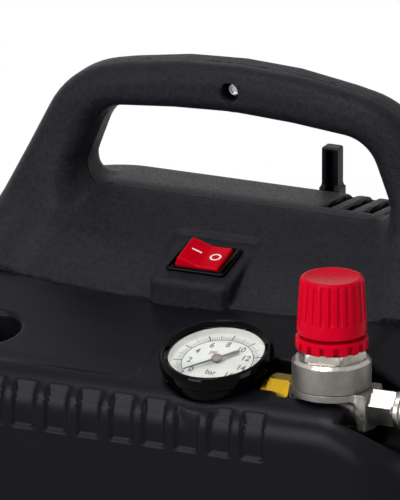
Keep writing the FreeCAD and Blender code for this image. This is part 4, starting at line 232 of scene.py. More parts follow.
def make_piece(name, points, faces, material, **what):
    """A piece from faces that all have the same number of corners, points in millimetres."""
    mesh = bpy.data.meshes.new(name)
    points = np.asarray(points, np.float64) * MM
    faces = np.asarray(faces, np.int32)
    mesh.vertices.add(len(points))
    mesh.vertices.foreach_set("co", points.astype(np.float32).ravel())
    mesh.loops.add(faces.size)
    mesh.loops.foreach_set("vertex_index", faces.ravel())
    mesh.polygons.add(len(faces))
    mesh.polygons.foreach_set("loop_start", np.arange(len(faces), dtype=np.int32) * faces.shape[1])
    mesh.update(calc_edges=True)
    mesh.validate()
    return dress(name, mesh, material, **what)


def closed_piece(name, points, faces, material, **what):
    """A piece from four-cornered faces of which some fold to three corners at a pole."""
    flat = [list(dict.fromkeys(face)) for face in faces.tolist()]
    mesh = bpy.data.meshes.new(name)
    mesh.from_pydata((points * MM).tolist(), [], [face for face in flat if len(face) > 2])
    work = bmesh.new()
    work.from_mesh(mesh)
    bmesh.ops.recalc_face_normals(work, faces=work.faces)
    work.to_mesh(mesh)
    work.free()
    return dress(name, mesh, material, **what)


def level_surface(name, field, lines, material, **what):
    """The zero level of a distance-like field on a box of grid lines.

    Each grid edge that the field crosses gives a point and a normal; each cell with such edges
    gets the vertex nearest to all its tangent planes; each crossed edge gives the face between
    its four cells.  A two-parameter surface cannot give these forms, because their blends run
    into one another in every direction."""
    x, y, z = lines
    values = np.broadcast_to(field(x[:, None, None], y[None, :, None], z[None, None, :]),
                             (len(x), len(y), len(z)))
    inside = values < 0.0
    cells = np.array([len(x) - 1, len(y) - 1, len(z) - 1])
    points, owners, flips = [], [], []
    for axis in range(3):
        low = tuple(slice(None, -1) if n == axis else slice(None) for n in range(3))
        high = tuple(slice(1, None) if n == axis else slice(None) for n in range(3))
        crossed = np.argwhere(inside[low] != inside[high])
        step = np.zeros(3, int)
        step[axis] = 1
        first, second = tuple(crossed.T), tuple((crossed + step).T)
        start = np.stack([x[first[0]], y[first[1]], z[first[2]]], 1)
        end = np.stack([x[second[0]], y[second[1]], z[second[2]]], 1)
        v0, v1 = values[first], values[second]
        t = v0 / (v0 - v1)
        guess = start + (end - start) * t[:, None]
        middle = field(*guess.T)
        same = (middle < 0.0) == (v0 < 0.0)
        left, right = np.where(same, middle, v0), np.where(same, v1, middle)
        t0, t1 = np.where(same, t, 0.0), np.where(same, 1.0, t)
        share = left / np.where(np.abs(left - right) < 1e-9, 1e-9, left - right)
        t = t0 + (t1 - t0) * np.clip(share, 0.0, 1.0)
        points.append(start + (end - start) * t[:, None])
        one, two = (axis + 1) % 3, (axis + 2) % 3
        around = []
        for back_one, back_two in ((1, 1), (0, 1), (0, 0), (1, 0)):
            cell = crossed.copy()
            cell[:, one] -= back_one
            cell[:, two] -= back_two
            around.append((cell[:, 0] * cells[1] + cell[:, 1]) * cells[2] + cell[:, 2])
        owners.append(np.stack(around, 1))
        flips.append(v0 > 0.0)
    points, owners, flips = np.concatenate(points), np.concatenate(owners), np.concatenate(flips)
    reach = np.eye(3) * 0.2
    normals = np.stack([field(*(points + one).T) - field(*(points - one).T) for one in reach], 1)
    normals /= np.linalg.norm(normals, axis=1)[:, None] + 1e-12
    used, quads = np.unique(owners, return_inverse=True)
    quads = quads.reshape(-1, 4)
    flat, many = quads.ravel(), len(used)

    def gather(amount):
        return np.bincount(flat, np.repeat(amount, 4), many)

    count = gather(np.ones(len(points)))
    centre = np.stack([gather(points[:, n]) / count for n in range(3)], 1)
    near = np.repeat(points, 4, 0) - centre[flat]
    push = np.repeat(normals, 4, 0)
    level = (near * push).sum(1)
    left = np.empty((many, 3, 3))
    for n in range(3):
        for m in range(3):
            left[:, n, m] = np.bincount(flat, push[:, n] * push[:, m], many)
    centre_pull = 0.08
    left += np.eye(3) * centre_pull
    right = np.stack([np.bincount(flat, push[:, n] * level, many) for n in range(3)], 1)
    place = centre + np.linalg.solve(left, right[:, :, None])[:, :, 0]
    cell = np.stack(np.unravel_index(used, cells), 1)
    lowest = np.stack([x[cell[:, 0]], y[cell[:, 1]], z[cell[:, 2]]], 1)
    highest = np.stack([x[cell[:, 0] + 1], y[cell[:, 1] + 1], z[cell[:, 2] + 1]], 1)
    place = np.clip(place, lowest, highest)
    quads[flips] = quads[flips][:, ::-1]
    return make_piece(name, place, quads, material, **what)


def turned_grid(profile, start, axis, shape=None, around=96, turn=0.0):
    """Profile of (radius, height) carried round an axis: point = start + r(angle, height) across
    + height along; shape may change the radius with the angle.  Returns points and faces."""
    axis = np.array(axis, float) / np.linalg.norm(axis)
    side = np.array([0.0, 0.0, 1.0]) if abs(axis[2]) < 0.7 else np.array([0.0, -1.0, 0.0])
    u = side - axis * (side @ axis)
    u /= np.linalg.norm(u)
    v = np.cross(axis, u)
    angle = np.linspace(0.0, 2.0 * math.pi, around, endpoint=False)[None, :]
    r, h = profile[:, 0][:, None], profile[:, 1][:, None]
    radius = np.broadcast_to(shape(angle, r, h) if shape else r, (len(profile), around))
    a = angle + turn
    across = np.cos(a)[..., None] * u + np.sin(a)[..., None] * v
    points = (np.array(start) + radius[..., None] * across + h[..., None] * axis).reshape(-1, 3)
    i = np.arange(len(profile) - 1)[:, None] * around
    j = np.arange(around)[None, :]
    k = (j + 1) % around
    faces = np.stack([i + j, i + k, i + around + k, i + around + j], -1).reshape(-1, 4)
    return points, faces


def joined(pieces):
    """Several (points, faces) as one."""
    counts = np.cumsum([0] + [len(points) for points, _ in pieces])
    return (np.concatenate([points for points, _ in pieces]),
            np.concatenate([faces + base for (_, faces), base in zip(pieces, counts)]))


def weld(points, faces):
    """Joins equal points, so that seams and poles are closed; faces stay as corner lists."""
    key = np.round(points, 4)
    _, first, inverse = np.unique(key, axis=0, return_index=True, return_inverse=True)
    return points[first], inverse.ravel()[faces]


def turned_piece(name, profile, start, axis, material, shape=None, around=96, turn=0.0, **what):
    """A turned form in one mesh, at one place or at each of a list.  The profile is a list of
    (radius, height) or (radius, height, rounding); one that starts on the axis is open, any other
    is the section of a ring and closes on itself."""
    ring = profile[0][0] > 0.0
    line = rounded(profile, closed=ring, step=12.0)
    if ring:
        line = np.concatenate([line, line[:1]])
    grids = [turned_grid(line, place, axis, shape, around, turn)
             for place in (start if isinstance(start, list) else [start])]
    return closed_piece(name, *weld(*joined(grids)), material, **what)


# ---- materials
def linear(code):
    """An sRGB hex colour as the linear colour that a shader takes."""
    parts = np.array([int(code[n:n + 2], 16) for n in (1, 3, 5)]) / 255.0
    lit = np.where(parts <= 0.04045, parts / 12.92, ((parts + 0.055) / 1.055) ** 2.4)
    return tuple(lit) + (1.0,)


def add(tree, kind, inputs=(), **settings):
    """Adds one shader node: inputs by socket name, each a value or the socket that feeds it."""
    made = tree.nodes.new("ShaderNode" + kind)
    for key, value in settings.items():
        setattr(made, key, value)
    for key, value in dict(inputs).items():
        if isinstance(value, bpy.types.NodeSocket):
            tree.links.new(value, made.inputs[key])
        else:
            made.inputs[key].default_value = value
    return made


slot_finish, slot_of = {}, {}


def blank_material(name, slot=None):
    """A new material with an empty node tree: returns it, the tree and the output node.  The
    first material of a slot is the one that the slot's solids get."""
    material = bpy.data.materials.new(name)
    material.use_nodes = True
    tree = material.node_tree
    tree.nodes.clear()
    if slot:
        slot_of[name] = slot
        slot_finish.setdefault(slot, material)
    return material, tree, add(tree, "OutputMaterial")


def finish(slot, name, colour, roughness, metallic=0.0, shade=0.0, shade_mm=12.0, grain_mm=0.0,
           grain_depth=0.0, grain_detail=2.0, rough_spread=0.0, stretch=None, **sockets):
    """A material on Object coordinates: shade is how far the colour wanders (share of itself) over
    shade_mm, grain is a bump of a real size in millimetres, rough_spread follows the same grain."""
    material, tree, out = blank_material(name, slot)
    shader = add(tree, "BsdfPrincipled", {"Metallic": metallic})
    for key, value in sockets.items():
        shader.inputs[key.replace("_", " ")].default_value = value
    tree.links.new(shader.outputs[0], out.inputs["Surface"])
    place = add(tree, "TexCoord").outputs["Object"]
    if stretch:
        place = add(tree, "Mapping", {"Vector": place, "Scale": stretch}).outputs[0]
    base = np.array(linear(colour)[:3])
    noise = add(tree, "TexNoise", {"Vector": place, "Scale": 1000.0 / shade_mm, "Detail": 3.0})
    ramp = add(tree, "ValToRGB", {"Fac": noise.outputs["Fac"]})
    for stop, at, share in zip(ramp.color_ramp.elements, (0.3, 0.7), (1.0 - shade, 1.0 + shade)):
        stop.position = at
        stop.color = tuple(np.minimum(base * share, 1.0)) + (1.0,)
    tree.links.new(ramp.outputs["Color"], shader.inputs["Base Color"])
    if grain_mm:
        noise = add(tree, "TexNoise", {"Vector": place, "Scale": 1000.0 / grain_mm,
                                       "Detail": grain_detail, "Roughness": 0.6})
        bump = add(tree, "Bump", {"Height": noise.outputs["Fac"], "Strength": 1.0,
                                  "Distance": grain_depth * MM})
        tree.links.new(bump.outputs["Normal"], shader.inputs["Normal"])
    spread = add(tree, "MapRange",
                 {"Value": noise.outputs["Fac"], "From Min": 0.35, "From Max": 0.65,
                  "To Min": max(roughness - rough_spread, 0.02), "To Max": roughness + rough_spread})
    tree.links.new(spread.outputs[0], shader.inputs["Roughness"])
    return material


# Moulded ABS with a spark-eroded texture: a dull black that breaks up in fine light specks.
textured_black = finish("textured_black_plastic", "textured black ABS", "#17161b", 0.46, shade=0.38,
                        shade_mm=2.2, grain_mm=0.9, grain_depth=0.26, rough_spread=0.12,
                        grain_detail=4.0, Specular_IOR_Level=0.08)
# The front cover is the same plastic from a finer tool: darker, with a soft even sheen.
satin_black = finish("satin_black_plastic", "satin black ABS", "#0c0b10", 0.33, shade=0.08,
                     grain_mm=0.7, grain_depth=0.05, rough_spread=0.05, Specular_IOR_Level=0.07)
# Polished black nylon and ABS of the switch and the gauge rim: sharp highlights on near black.
gloss_black = finish("gloss_black_plastic", "polished black nylon", "#020203", 0.08, shade=0.05,
                     rough_spread=0.02, Specular_IOR_Level=0.05)
# Red moulded nylon of knob and lock ring: clear red, slightly soft highlights.
red_plastic = finish("red_plastic", "red moulded nylon", "#b8001e", 0.30, shade=0.04, grain_mm=2.0,
                     grain_depth=0.005, rough_spread=0.05, Specular_IOR_Level=0.03)
# The rocker is a clearer, deeper red, of a plastic that lets some light in; the material is opaque.
rocker_red = finish("red_plastic", "red translucent rocker", "#b00218", 0.20, shade=0.04,
                    rough_spread=0.03, Specular_IOR_Level=0.03)
# White ink of the switch marks.
cream_ink = finish("red_plastic", "cream printed ink", "#e9d9d2", 0.5, shade=0.03)
# Die-cast zinc as it leaves the mould and the tumbler: dull warm grey, faintly uneven.
cast_zinc = finish("die_cast_zinc", "die-cast zinc", "#706d69", 0.44, metallic=0.85, shade=0.10,
                   shade_mm=6.0, grain_mm=1.5, grain_depth=0.015, rough_spread=0.10)
# Machined edges of the casting: brighter and smoother; the turning marks are not drawn.
turned_zinc = finish("die_cast_zinc", "turned zinc", "#a39f98", 0.30, metallic=1.0, shade=0.08,
                     shade_mm=4.0, rough_spread=0.08)
# Nickel plate on brass: bright, faintly yellow grey.
nickel = finish("nickel_plated", "nickel plate on brass", "#8d8a84", 0.34, metallic=1.0, shade=0.05,
                rough_spread=0.05)
# Bare machined brass.
brass = finish("brass", "machined brass", "#8a6d18", 0.36, metallic=1.0, shade=0.08, rough_spread=0.06)
# Zinc-plated steel of the screws: cool bright grey, slightly cloudy.
plated_steel = finish("zinc_plated_steel", "zinc-plated steel", "#b5b8bb", 0.28, metallic=1.0,
                      shade=0.08, shade_mm=3.0, rough_spread=0.08)
finish("spring_steel", "oiled spring steel", "#77787b", 0.3, metallic=1.0, shade=0.08,
       rough_spread=0.06)
# Moulded rubber: matt black, a little dusty.
rubber = finish("black_rubber", "moulded rubber", "#141414", 0.72, shade=0.15, grain_mm=0.8,
                grain_depth=0.05, rough_spread=0.08)
# Printed dial card: matt white.
dial_card = finish("white_dial", "printed white dial", "#e4e3df", 0.55, shade=0.015, rough_spread=0.03)
# The pointer comes before the printing inks of the same slot.
pointer_black = finish("pointer_black", "black enamelled pointer", "#101010", 0.35, shade=0.05)
dial_ink = finish("pointer_black", "black printing ink", "#191919", 0.5, shade=0.05)
dial_red_ink = finish("pointer_black", "red printing ink", "#b3312c", 0.5, shade=0.05)
# Inside: cast aluminium, laminated steel, enamelled copper wire, carbon, nylon and PTFE.
finish("cast_aluminium", "cast aluminium", "#9a9c9e", 0.5, metallic=0.9, shade=0.1, grain_mm=1.2,
       grain_depth=0.08, rough_spread=0.1)
finish("electrical_steel", "laminated motor steel", "#6b6c70", 0.42, metallic=0.95, shade=0.1,
       grain_mm=0.5, grain_depth=0.05, stretch=(1.0, 6.0, 1.0), rough_spread=0.08)
finish("copper", "enamelled copper wire", "#a4562a", 0.34, metallic=0.9, shade=0.15, grain_mm=0.8,
       grain_depth=0.15, rough_spread=0.08)
finish("carbon", "pressed carbon", "#262626", 0.6, shade=0.1, rough_spread=0.05)
finish("nylon", "natural nylon", "#c9c5b8", 0.45, shade=0.05, grain_mm=1.0, grain_depth=0.02,
       rough_spread=0.05)
finish("ptfe", "filled PTFE", "#ded9cc", 0.5, shade=0.05, rough_spread=0.05)


def clear_glass():
    """Flat gauge glass: clear, with reflections only."""
    material, tree, out = blank_material("clear gauge glass", "clear_glass")
    shader = add(tree, "BsdfPrincipled", {"Base Color": linear("#fbfdfc"), "Roughness": 0.02,
                                          "IOR": 1.45, "Transmission Weight": 1.0})
    tree.links.new(shader.outputs[0], out.inputs["Surface"])
    return material


glass = clear_glass()

for part in frame["record"]["subparts"]:
    node_mesh = frame["nodes"][part["node"]].data
    node_mesh.materials.clear()
    node_mesh.materials.append(slot_finish[part["material_slot"]])


# ---- housing as distances, negative inside
CORNER_X, CORNER_Z = 88.3, CROWN - 12.3
LEG_FOOT_X, LEG_FOOT_Z = HALF_W - 19.0, LIP - 35.5
LEG_LEAN = (LEG_FOOT_X - CORNER_X) / (CORNER_Z - LEG_FOOT_Z)
LEG_END_Z = 170.0           # the legs are worked out down to here, inside the body
LEG_END_X = LEG_FOOT_X + (LEG_FOOT_Z - LEG_END_Z) * LEG_LEAN
BAR_BACK = BAR_FRONT + BAR_DEPTH
arch = distance_table([(0.0, CROWN + 6.0, 283.0)]
                      + mirrored([(CORNER_X, CORNER_Z, 45.0), (LEG_END_X, LEG_END_Z)]))
leg_side = distance_table([(BAR_BACK, CROWN + 6.0, 8.0), (BAR_FRONT, CROWN + 6.0, 8.0),
                           (BAR_FRONT, CROWN - 45.0, 60.0), (SCOOP_FRONT + 4.0, SEAM_Z + 28.0, 16.0),
                           (SEAM_Y, SEAM_Z), (SEAM_Y, 200.0), (BAR_BACK, 200.0)])
opening = distance_table([(0.0, CROWN - BAR_HEIGHT + 2.4, 300.0)]
                         + mirrored([(HALF_W - 87.0, CROWN - BAR_HEIGHT - 4.0, 20.0),
                                     (HALF_W - 74.5, LIP + 10.5, 8.0), (HALF_W - 76.0, LIP, 7.5)]))
shoulders = distance_table(mirrored([(HALF_W - 83.0, CREST, 30.0), (HALF_W - 29.0, LIP - 16.0, 20.0),
                                     (HALF_W, LIP - 70.5, 30.0), (HALF_W, -60.0)]))


def seam_run(x):
    """How far the seam has bowed back at a distance from the middle."""
    return SEAM_RADIUS - np.sqrt(SEAM_RADIUS ** 2 - np.minimum(np.abs(x), 200.0) ** 2)


def top_height(x, y):
    """Height of panel, face, scoop and ledge: the lower or higher of their planes, eased together.
    Panel and face meet along the bowed seam; outside the facet crease both fall outwards, and the
    panel is crowned towards its front edge."""
    run = seam_run(x)
    fall = FACET_FALL * smooth_max(np.abs(x) - FACET_X, 0.0, 5.0)
    crown = 1.7 * (1.0 - ease((y - FRONT - 6.0) / 40.0))
    panel = FRONT_EDGE + crown + (y - FRONT) * PANEL_RISE - fall
    seam_y = SEAM_Y + run
    seam_z = FRONT_EDGE + (seam_y - FRONT) * PANEL_RISE - fall
    face = seam_z + (y - seam_y) * FACE_RISE
    edge_y = SCOOP_FRONT + run
    edge_z = seam_z + (edge_y - seam_y) * FACE_RISE
    along = (y - edge_y) / (PARTING - edge_y)
    sag = 4.0 * np.clip(along * (1.0 - along), 0.0, 1.0)
    scoop = edge_z + (LIP - edge_z) * np.maximum(along, 0.0) + 0.1 * np.minimum(y - edge_y, 0.0) - sag
    crest = LIP + (y - PARTING) * 0.4
    ledge = CREST - (y - CREST_Y) * LEDGE_FALL
    top = smooth_min(smooth_max(panel, face, 1.5), smooth_min(scoop, crest, 1.0), 9.0)
    return smooth_min(top, ledge, 3.0)


def plan_distance(x, y, half_x, half_y, radius):
    """Distance to a rounded rectangle in plan."""
    u, v = np.abs(x) - half_x + radius, np.abs(y) - half_y + radius
    return np.hypot(np.maximum(u, 0.0), np.maximum(v, 0.0)) + np.minimum(np.maximum(u, v), 0.0) - radius


def body_distance(x, y, z):
    """Housing without its handle: top height, rounded plan and shoulders, with wide soft edges."""
    height = top_height(x, y)
    tilt = top_height(x, y + 0.5) - top_height(x, y - 0.5)
    top = (z - height) / np.sqrt(1.0 + tilt * tilt)
    width = 23.0 - 12.0 * ease((y + 60.0) / 100.0) - 9.0 * ease((-72.0 - y) / 10.0)
    form = smooth_max(top, plan_distance(x, y, HALF_W, -FRONT, CORNER), width)
    return smooth_max(form, shoulders(x, z), 8.0)


def opening_distance(x, y, z):
    """The hand opening: straight through behind the parting line, flaring towards the front.  It
    goes on down through the body, so that only the legs join it."""
    across = np.abs(x) - 0.36 * np.maximum(PARTING - y, 0.0)
    return opening(across, np.maximum(z, LIP + 9.0))


def handle_distance(x, y, z):
    """Legs and bar: arch seen from the front and leg seen from the side, less the opening."""
    low = 1.0 - ease((z - 245.0) / 50.0)
    form = smooth_max(arch(x, z), leg_side(y - seam_run(x) * low, z), 11.0)
    form = np.maximum(form, np.abs(x) - HALF_W)
    return smooth_max(form, -opening_distance(x, y, z), 8.0)


def pad_height(y):
    """Height of the pedestal top at a depth."""
    return PAD_Z + (y - SWITCH_Y) * PAD_RISE


def pad_block(x, y):
    """Plan of the pedestal."""
    return smooth_max(np.abs(x) - PAD_HALF, np.abs(y - (PAD_FRONT + PAD_BACK) / 2.0)
                      - (PAD_BACK - PAD_FRONT) / 2.0, 5.0)


def housing_distance(x, y, z):
    """The whole housing outside: body and handle flow together, a pocket is sunk for the switch
    and its pedestal stands in it."""
    flank = np.abs(x) - (104.0 + (LIP - z) * 0.5)
    blend = 1.0 + 10.0 * (1.0 - ease(flank / 20.0 + 0.5))
    form = smooth_min(body_distance(x, y, z), handle_distance(x, y, z), blend)
    pocket = smooth_max(pad_block(x, y) - 0.5, pad_height(y) - z, 2.0)
    form = smooth_max(form, -pocket, 3.0)
    pad = smooth_max(smooth_max(pad_block(x, y), z - pad_height(y), 3.0), PAD_FLOOR - z, 1.0)
    return smooth_min(form, pad, 1.5)


def hollow(outside, inside, floor, z):
    """A moulded wall between an outside and the same form moved in, open below at the base."""
    return np.maximum(np.maximum(outside, -(inside + WALL)), floor - z)


def behind_seam(x, y, z):
    """Negative behind the front cover: past the bowed seam, or under the pedestal."""
    pad = np.maximum(pad_block(x, y), PAD_FLOOR - z)
    return np.minimum(SEAM_Y + seam_run(x) - y, pad)


def pin(x, y, radius, across):
    """Distance to a round pin or hole in the plane of two coordinates."""
    return np.hypot(x - across[0], y - across[1]) - radius


screw_x = HALF_W - CORNER + 5.0
plate_x, plate_y = HALF_W - CORNER - 20.0, -FRONT - WALL - 5.0
plate_screws = [(a, b) for a in (-plate_x, 0.0, plate_x) for b in (-plate_y, plate_y)]
rear_screws = [(side * screw_x, high) for side in (-1, 1) for high in (BASE_TOP + 28.0, LIP - 85.5)]
BAR_MIDDLE = CROWN - BAR_HEIGHT / 2.0


def handle_shell_distance(x, y, z):
    """Middle shell, between seam and parting: the bar is solid, with a deep screw hole, and the
    pedestal has the cutout of the switch."""
    outside = housing_distance(x, y, z)
    inside = np.maximum(outside, z - LIP - 1.0)
    form = hollow(outside, inside, BASE_TOP, z)
    form = smooth_max(form, behind_seam(x, y, z) + SEAM_GAP / 2.0, 0.6)
    form = smooth_max(form, y - PARTING + SEAM_GAP / 3.0, 0.6)
    hole = np.maximum(pin(x, z, BAR_WELL, (0.0, BAR_MIDDLE)), y - PARTING + 3.0)
    form = smooth_max(form, -hole, 1.2)
    form = np.maximum(form, -pin(x, z, SCREW_HOLE, (0.0, BAR_MIDDLE)))
    cutout = np.maximum(np.abs(x) - 14.1, np.abs((y - SWITCH_Y) / math.cos(PAD_TILT)) - 11.6)
    return np.maximum(form, -np.maximum(cutout, PAD_Z - 12.0 - z))


def slots(across, along, places, half_width, half_length):
    """Distance to a row of round-ended slots."""
    spread = np.maximum(np.abs(along) - half_length + half_width, 0.0)
    nearest = np.min([np.abs(across - place) for place in places], 0)
    return np.hypot(nearest, spread) - half_width


louvres = [42.0 + 11.0 * n for n in range(4)]
rear_vents = [95.0 + 12.0 * n for n in range(7)]
gland_hole = (-100.0, 50.0)
front_vents = [side * (22.0 + 14.0 * n) for side in (-1, 1) for n in range(7)]


def rear_shell_distance(x, y, z):
    """Rear shell: back of the handle, ledge with louvres on its right half, rear face with vents,
    screw wells and the hole of the cord."""
    outside = housing_distance(x, y, z)
    form = hollow(outside, np.maximum(outside, z - CREST - 1.0), BASE_TOP, z)
    for place in rear_screws:
        post = np.maximum(pin(x, z, 6.0, place), outside)
        form = np.minimum(form, np.maximum(post, PARTING - y))
    form = smooth_max(form, PARTING + SEAM_GAP / 3.0 - y, 0.6)
    cut = np.maximum(np.abs(y - CREST_Y - 22.0) - 19.0, np.abs(z - LIP + 12.0) - 18.0)
    nearest = np.min([np.abs(x - place) for place in louvres], 0) - 2.5
    form = smooth_max(form, -np.maximum(nearest, cut), 1.6)
    vents = np.maximum(slots(z, x, rear_vents, 2.5, 70.0), REAR - 8.0 - y)
    form = smooth_max(form, -vents, 1.2)
    for place in rear_screws:
        well = np.maximum(pin(x, z, SCREW_HEAD, place), PARTING + 6.0 - y)
        form = smooth_max(form, -well, 0.8)
        form = np.maximum(form, -pin(x, z, SCREW_HOLE, place))
    return np.maximum(form, -np.maximum(pin(x, z, 7.0, gland_hole), REAR - 20.0 - y))


def well_distance(x, y, z):
    """Space round the regulator: a D-shaped well, the trough of the coupler and a neck."""
    side_x = REG_X + 14.0
    well = np.maximum(pin(x, y, WELL_RADIUS, (REG_X, REG_Y)), np.minimum(REG_Y - 12.5 - y, side_x - x))
    well = smooth_max(well, COUPLER_Z - 21.0 - z, 3.0)
    below = np.minimum(z - COUPLER_Z, 0.0)
    trough = np.maximum(np.hypot(y - REG_Y, below) - TROUGH_RADIUS, side_x - x)
    neck = np.maximum(np.maximum(GAUGE_X + 21.0 - x, x - REG_X),
                      np.maximum(np.maximum(REG_Y - 9.5 - y, y - REG_Y - 16.0), STEM_Z - 10.5 - z))
    return smooth_min(smooth_min(well, trough, 2.0), neck, 3.0)


def panel_frame(x, y, z):
    """Coordinates on the panel about the gauge: across, up the slope, and off the panel."""
    c, s = math.cos(PANEL_TILT), math.sin(PANEL_TILT)
    return x - GAUGE_X, (y - GAUGE_Y) * c + (z - GAUGE_Z) * s, -(y - GAUGE_Y) * s + (z - GAUGE_Z) * c


def front_cover_distance(x, y, z):
    """Front cover: panel with a sunk left field, pressed bars on its rounded edge, the well of the
    regulator, the cup, the gauge hole and the lower vents."""
    plain = body_distance(x, y, z)
    left_field = ease((2.0 - x) / 3.0) * ease((y + 80.0) / 2.5) * ease((z - SEAM_Z + 30.0) / 4.0)
    pitch = 17.0
    steps = np.abs(x / pitch - np.round(x / pitch)) * pitch
    clear = ease(pin(x, y, BEZEL_RADIUS, (GAUGE_X, GAUGE_Y)) / 1.5)
    bars = (clear * ease((6.6 - steps) / 2.2) * ease((78.5 - np.abs(x)) / 1.5)
            * ease((z - FRONT_EDGE + 23.7) / 1.4) * ease((FRONT + 5.5 - y) / 2.2))
    outside = plain + 0.8 * left_field + 1.4 * bars
    cup = np.maximum(pin(x, y, CUP_RADIUS, (CUP_X, CUP_Y)), SEAM_Z - 66.0 - z)
    space = np.minimum(well_distance(x, y, z), cup)
    outside = smooth_max(outside, -space, 2.2)
    inside = smooth_max(plain, -space, 2.2)
    form = hollow(outside, inside, BASE_TOP, z)
    form = smooth_max(form, SEAM_GAP / 2.0 - behind_seam(x, y, z), 0.6)
    u, v, w = panel_frame(x, y, z)
    form = smooth_max(form, -np.maximum(np.hypot(u, v) - GAUGE_HOLE, -w - 22.0), 0.8)
    vents = np.maximum(slots(x, z - 80.0, front_vents, 2.5, 35.0), y - FRONT - 8.0)
    form = smooth_max(form, -vents, 1.2)
    return np.maximum(form, -np.maximum(pin(x, y, 7.3, (REG_X, REG_Y)), 150.0 - z))


def base_plate_distance(x, y, z):
    """Bottom plate with counterbored screw holes."""
    form = smooth_max(plan_distance(x, y, HALF_W, -FRONT, CORNER), np.abs(z - BASE_TOP + 2.5) - 2.5, 1.0)
    spot = np.min([pin(x, y, 0.0, place) for place in plate_screws], 0)
    form = np.maximum(form, -np.maximum(spot - SCREW_HEAD, z - BASE_TOP + 2.2))
    return np.maximum(form, SCREW_HOLE - spot)


edge_x = HALF_W + 4.0
level_surface("middle_shell", handle_shell_distance,
              (spaced(-edge_x, (edge_x, 1.4)),
               spaced(SEAM_Y - 6.0, (PARTING + 3.0, 1.25)),
               spaced(BASE_TOP - 5.0, (170.0, 4.0), (CROWN + 4.0, 1.3))),
              textured_black, node="handle_shell")
level_surface("back_shell", rear_shell_distance,
              (spaced(-edge_x, (-95.0, 2.0), (95.0, 1.45), (edge_x, 2.0)),
               spaced(PARTING - 3.0, (REAR - 12.0, 1.6), (REAR + 3.0, 1.2)),
               spaced(BASE_TOP - 5.0, (38.0, 3.5), (62.0, 1.6), (88.0, 3.5), (172.0, 1.25),
                      (CROWN + 4.0, 1.75))),
              textured_black, node="rear_shell")
level_surface("front_cover_shell", front_cover_distance,
              (spaced(-edge_x, (-85.0, 2.0), (85.0, 1.3), (edge_x, 1.5)),
               spaced(FRONT - 3.0, (-80.0, 0.9), (8.0, 1.35)),
               spaced(BASE_TOP - 5.0, (42.0, 4.0), (49.0, 1.2), (111.0, 6.0), (118.0, 1.2),
                      (160.0, 4.0), (176.0, 2.0), (236.0, 1.0))),
              satin_black, node="front_cover")
level_surface("bottom_plate", base_plate_distance,
              (spaced(-edge_x, (edge_x, 2.2)),
               spaced(FRONT - 4.0, (REAR + 4.0, 2.2)),
               spaced(BASE_TOP - 7.0, (BASE_TOP + 2.0, 0.9))),
              satin_black, node="base_plate")


# ---- switch, worked out flat about the middle of the pedestal top
SWITCH_AT = np.array([0.0, SWITCH_Y, PAD_Z])
WING_TOP, WING_DISH, WING_END = 5.0, 2.1, 10.4


def tilted(points, at, angle):
    """Points worked out flat, tipped about X by an angle and carried to a place."""
    c, s = math.cos(angle), math.sin(angle)
    x, y, z = np.asarray(points, float).T
    return np.stack([x, y * c - z * s, y * s + z * c], 1) + at


def flat_field(field, at, angle):
    """A distance given in flat coordinates, read at tilted places."""
    c, s = math.cos(angle), math.sin(angle)

    def read(x, y, z):
        return field(x - at[0], (y - at[1]) * c + (z - at[2]) * s, -(y - at[1]) * s + (z - at[2]) * c)

    return read


def bezel_distance(x, y, z):
    """Snap-in switch: flat rim with rounded edges, body below it and the window of the rocker."""
    rim = smooth_max(plan_distance(x, y, 15.5, 12.5, 1.6), np.abs(z - 1.0) - 1.0, 1.3)
    body = np.maximum(plan_distance(x, y, 13.8, 11.3, 1.0), np.maximum(z - 0.5, -20.0 - z))
    window = np.maximum(np.maximum(np.abs(x) - 12.3, np.abs(y) - 10.2), -17.0 - z)
    form = smooth_max(np.minimum(rim, body), -window, 0.7)
    return np.maximum(form, -np.maximum(np.hypot(x, z) - 1.3, np.abs(y) - 11.9))


def wing_height(u):
    """Height of the rocker's top: two flat wings that meet in a shallow valley."""
    return WING_TOP - WING_DISH * (1.0 - smooth_max(np.abs(u), 0.0, 3.0) / WING_END)


def rocker_distance(x, y, z):
    """Rocker: two flat wings that meet in a shallow valley over the pin, ends that lean in towards
    the top, all edges softened."""
    c, s = math.cos(ROCKER_REST), math.sin(ROCKER_REST)
    u, w = x * c - z * s, x * s + z * c
    top = w - wing_height(u)
    under = -w - 7.0 + 0.55 * np.maximum(np.abs(u) - 1.0, 0.0)
    form = smooth_max(np.abs(u) - 11.6 + 0.27 * np.maximum(w - 0.5, 0.0), np.abs(y) - 9.5, 1.0)
    form = smooth_max(form, top, 0.9)
    form = smooth_max(form, under, 1.0)
    return np.minimum(form, np.maximum(np.hypot(x, z) - 1.25, np.abs(y) - 11.0))


level_surface("switch_frame", flat_field(bezel_distance, SWITCH_AT, PAD_TILT),
              (spaced(-17.0, (17.0, 0.45)),
               spaced(-14.0, (24.0, 0.5)),
               spaced(216.0, (228.0, 1.5), (252.0, 0.42))),
              gloss_black, node="switch_housing")
level_surface("switch_key", flat_field(rocker_distance, SWITCH_AT, PAD_TILT),
              (spaced(-14.0, (14.0, 0.42)), spaced(-10.0, (17.0, 0.45)), spaced(231.0, (253.0, 0.38))),
              rocker_red, body="switch_rocker_body", node="switch_rocker")


def flat_ring(radius, width, height, at, angles=(0.0, 360.0), steps=48):
    """A flat printed arc of a width about a mean radius, from one angle to another."""
    a = np.radians(np.linspace(angles[0], angles[1], steps + 1))
    inner, outer = radius - width / 2.0, radius + width / 2.0
    level = np.full_like(a, height)
    points = np.concatenate([np.stack([at[0] + r * np.cos(a), at[1] + r * np.sin(a), level], 1)
                             for r in (inner, outer)])
    i = np.arange(steps)
    return points, np.stack([i, i + steps + 1, i + steps + 2, i + 1], 1)


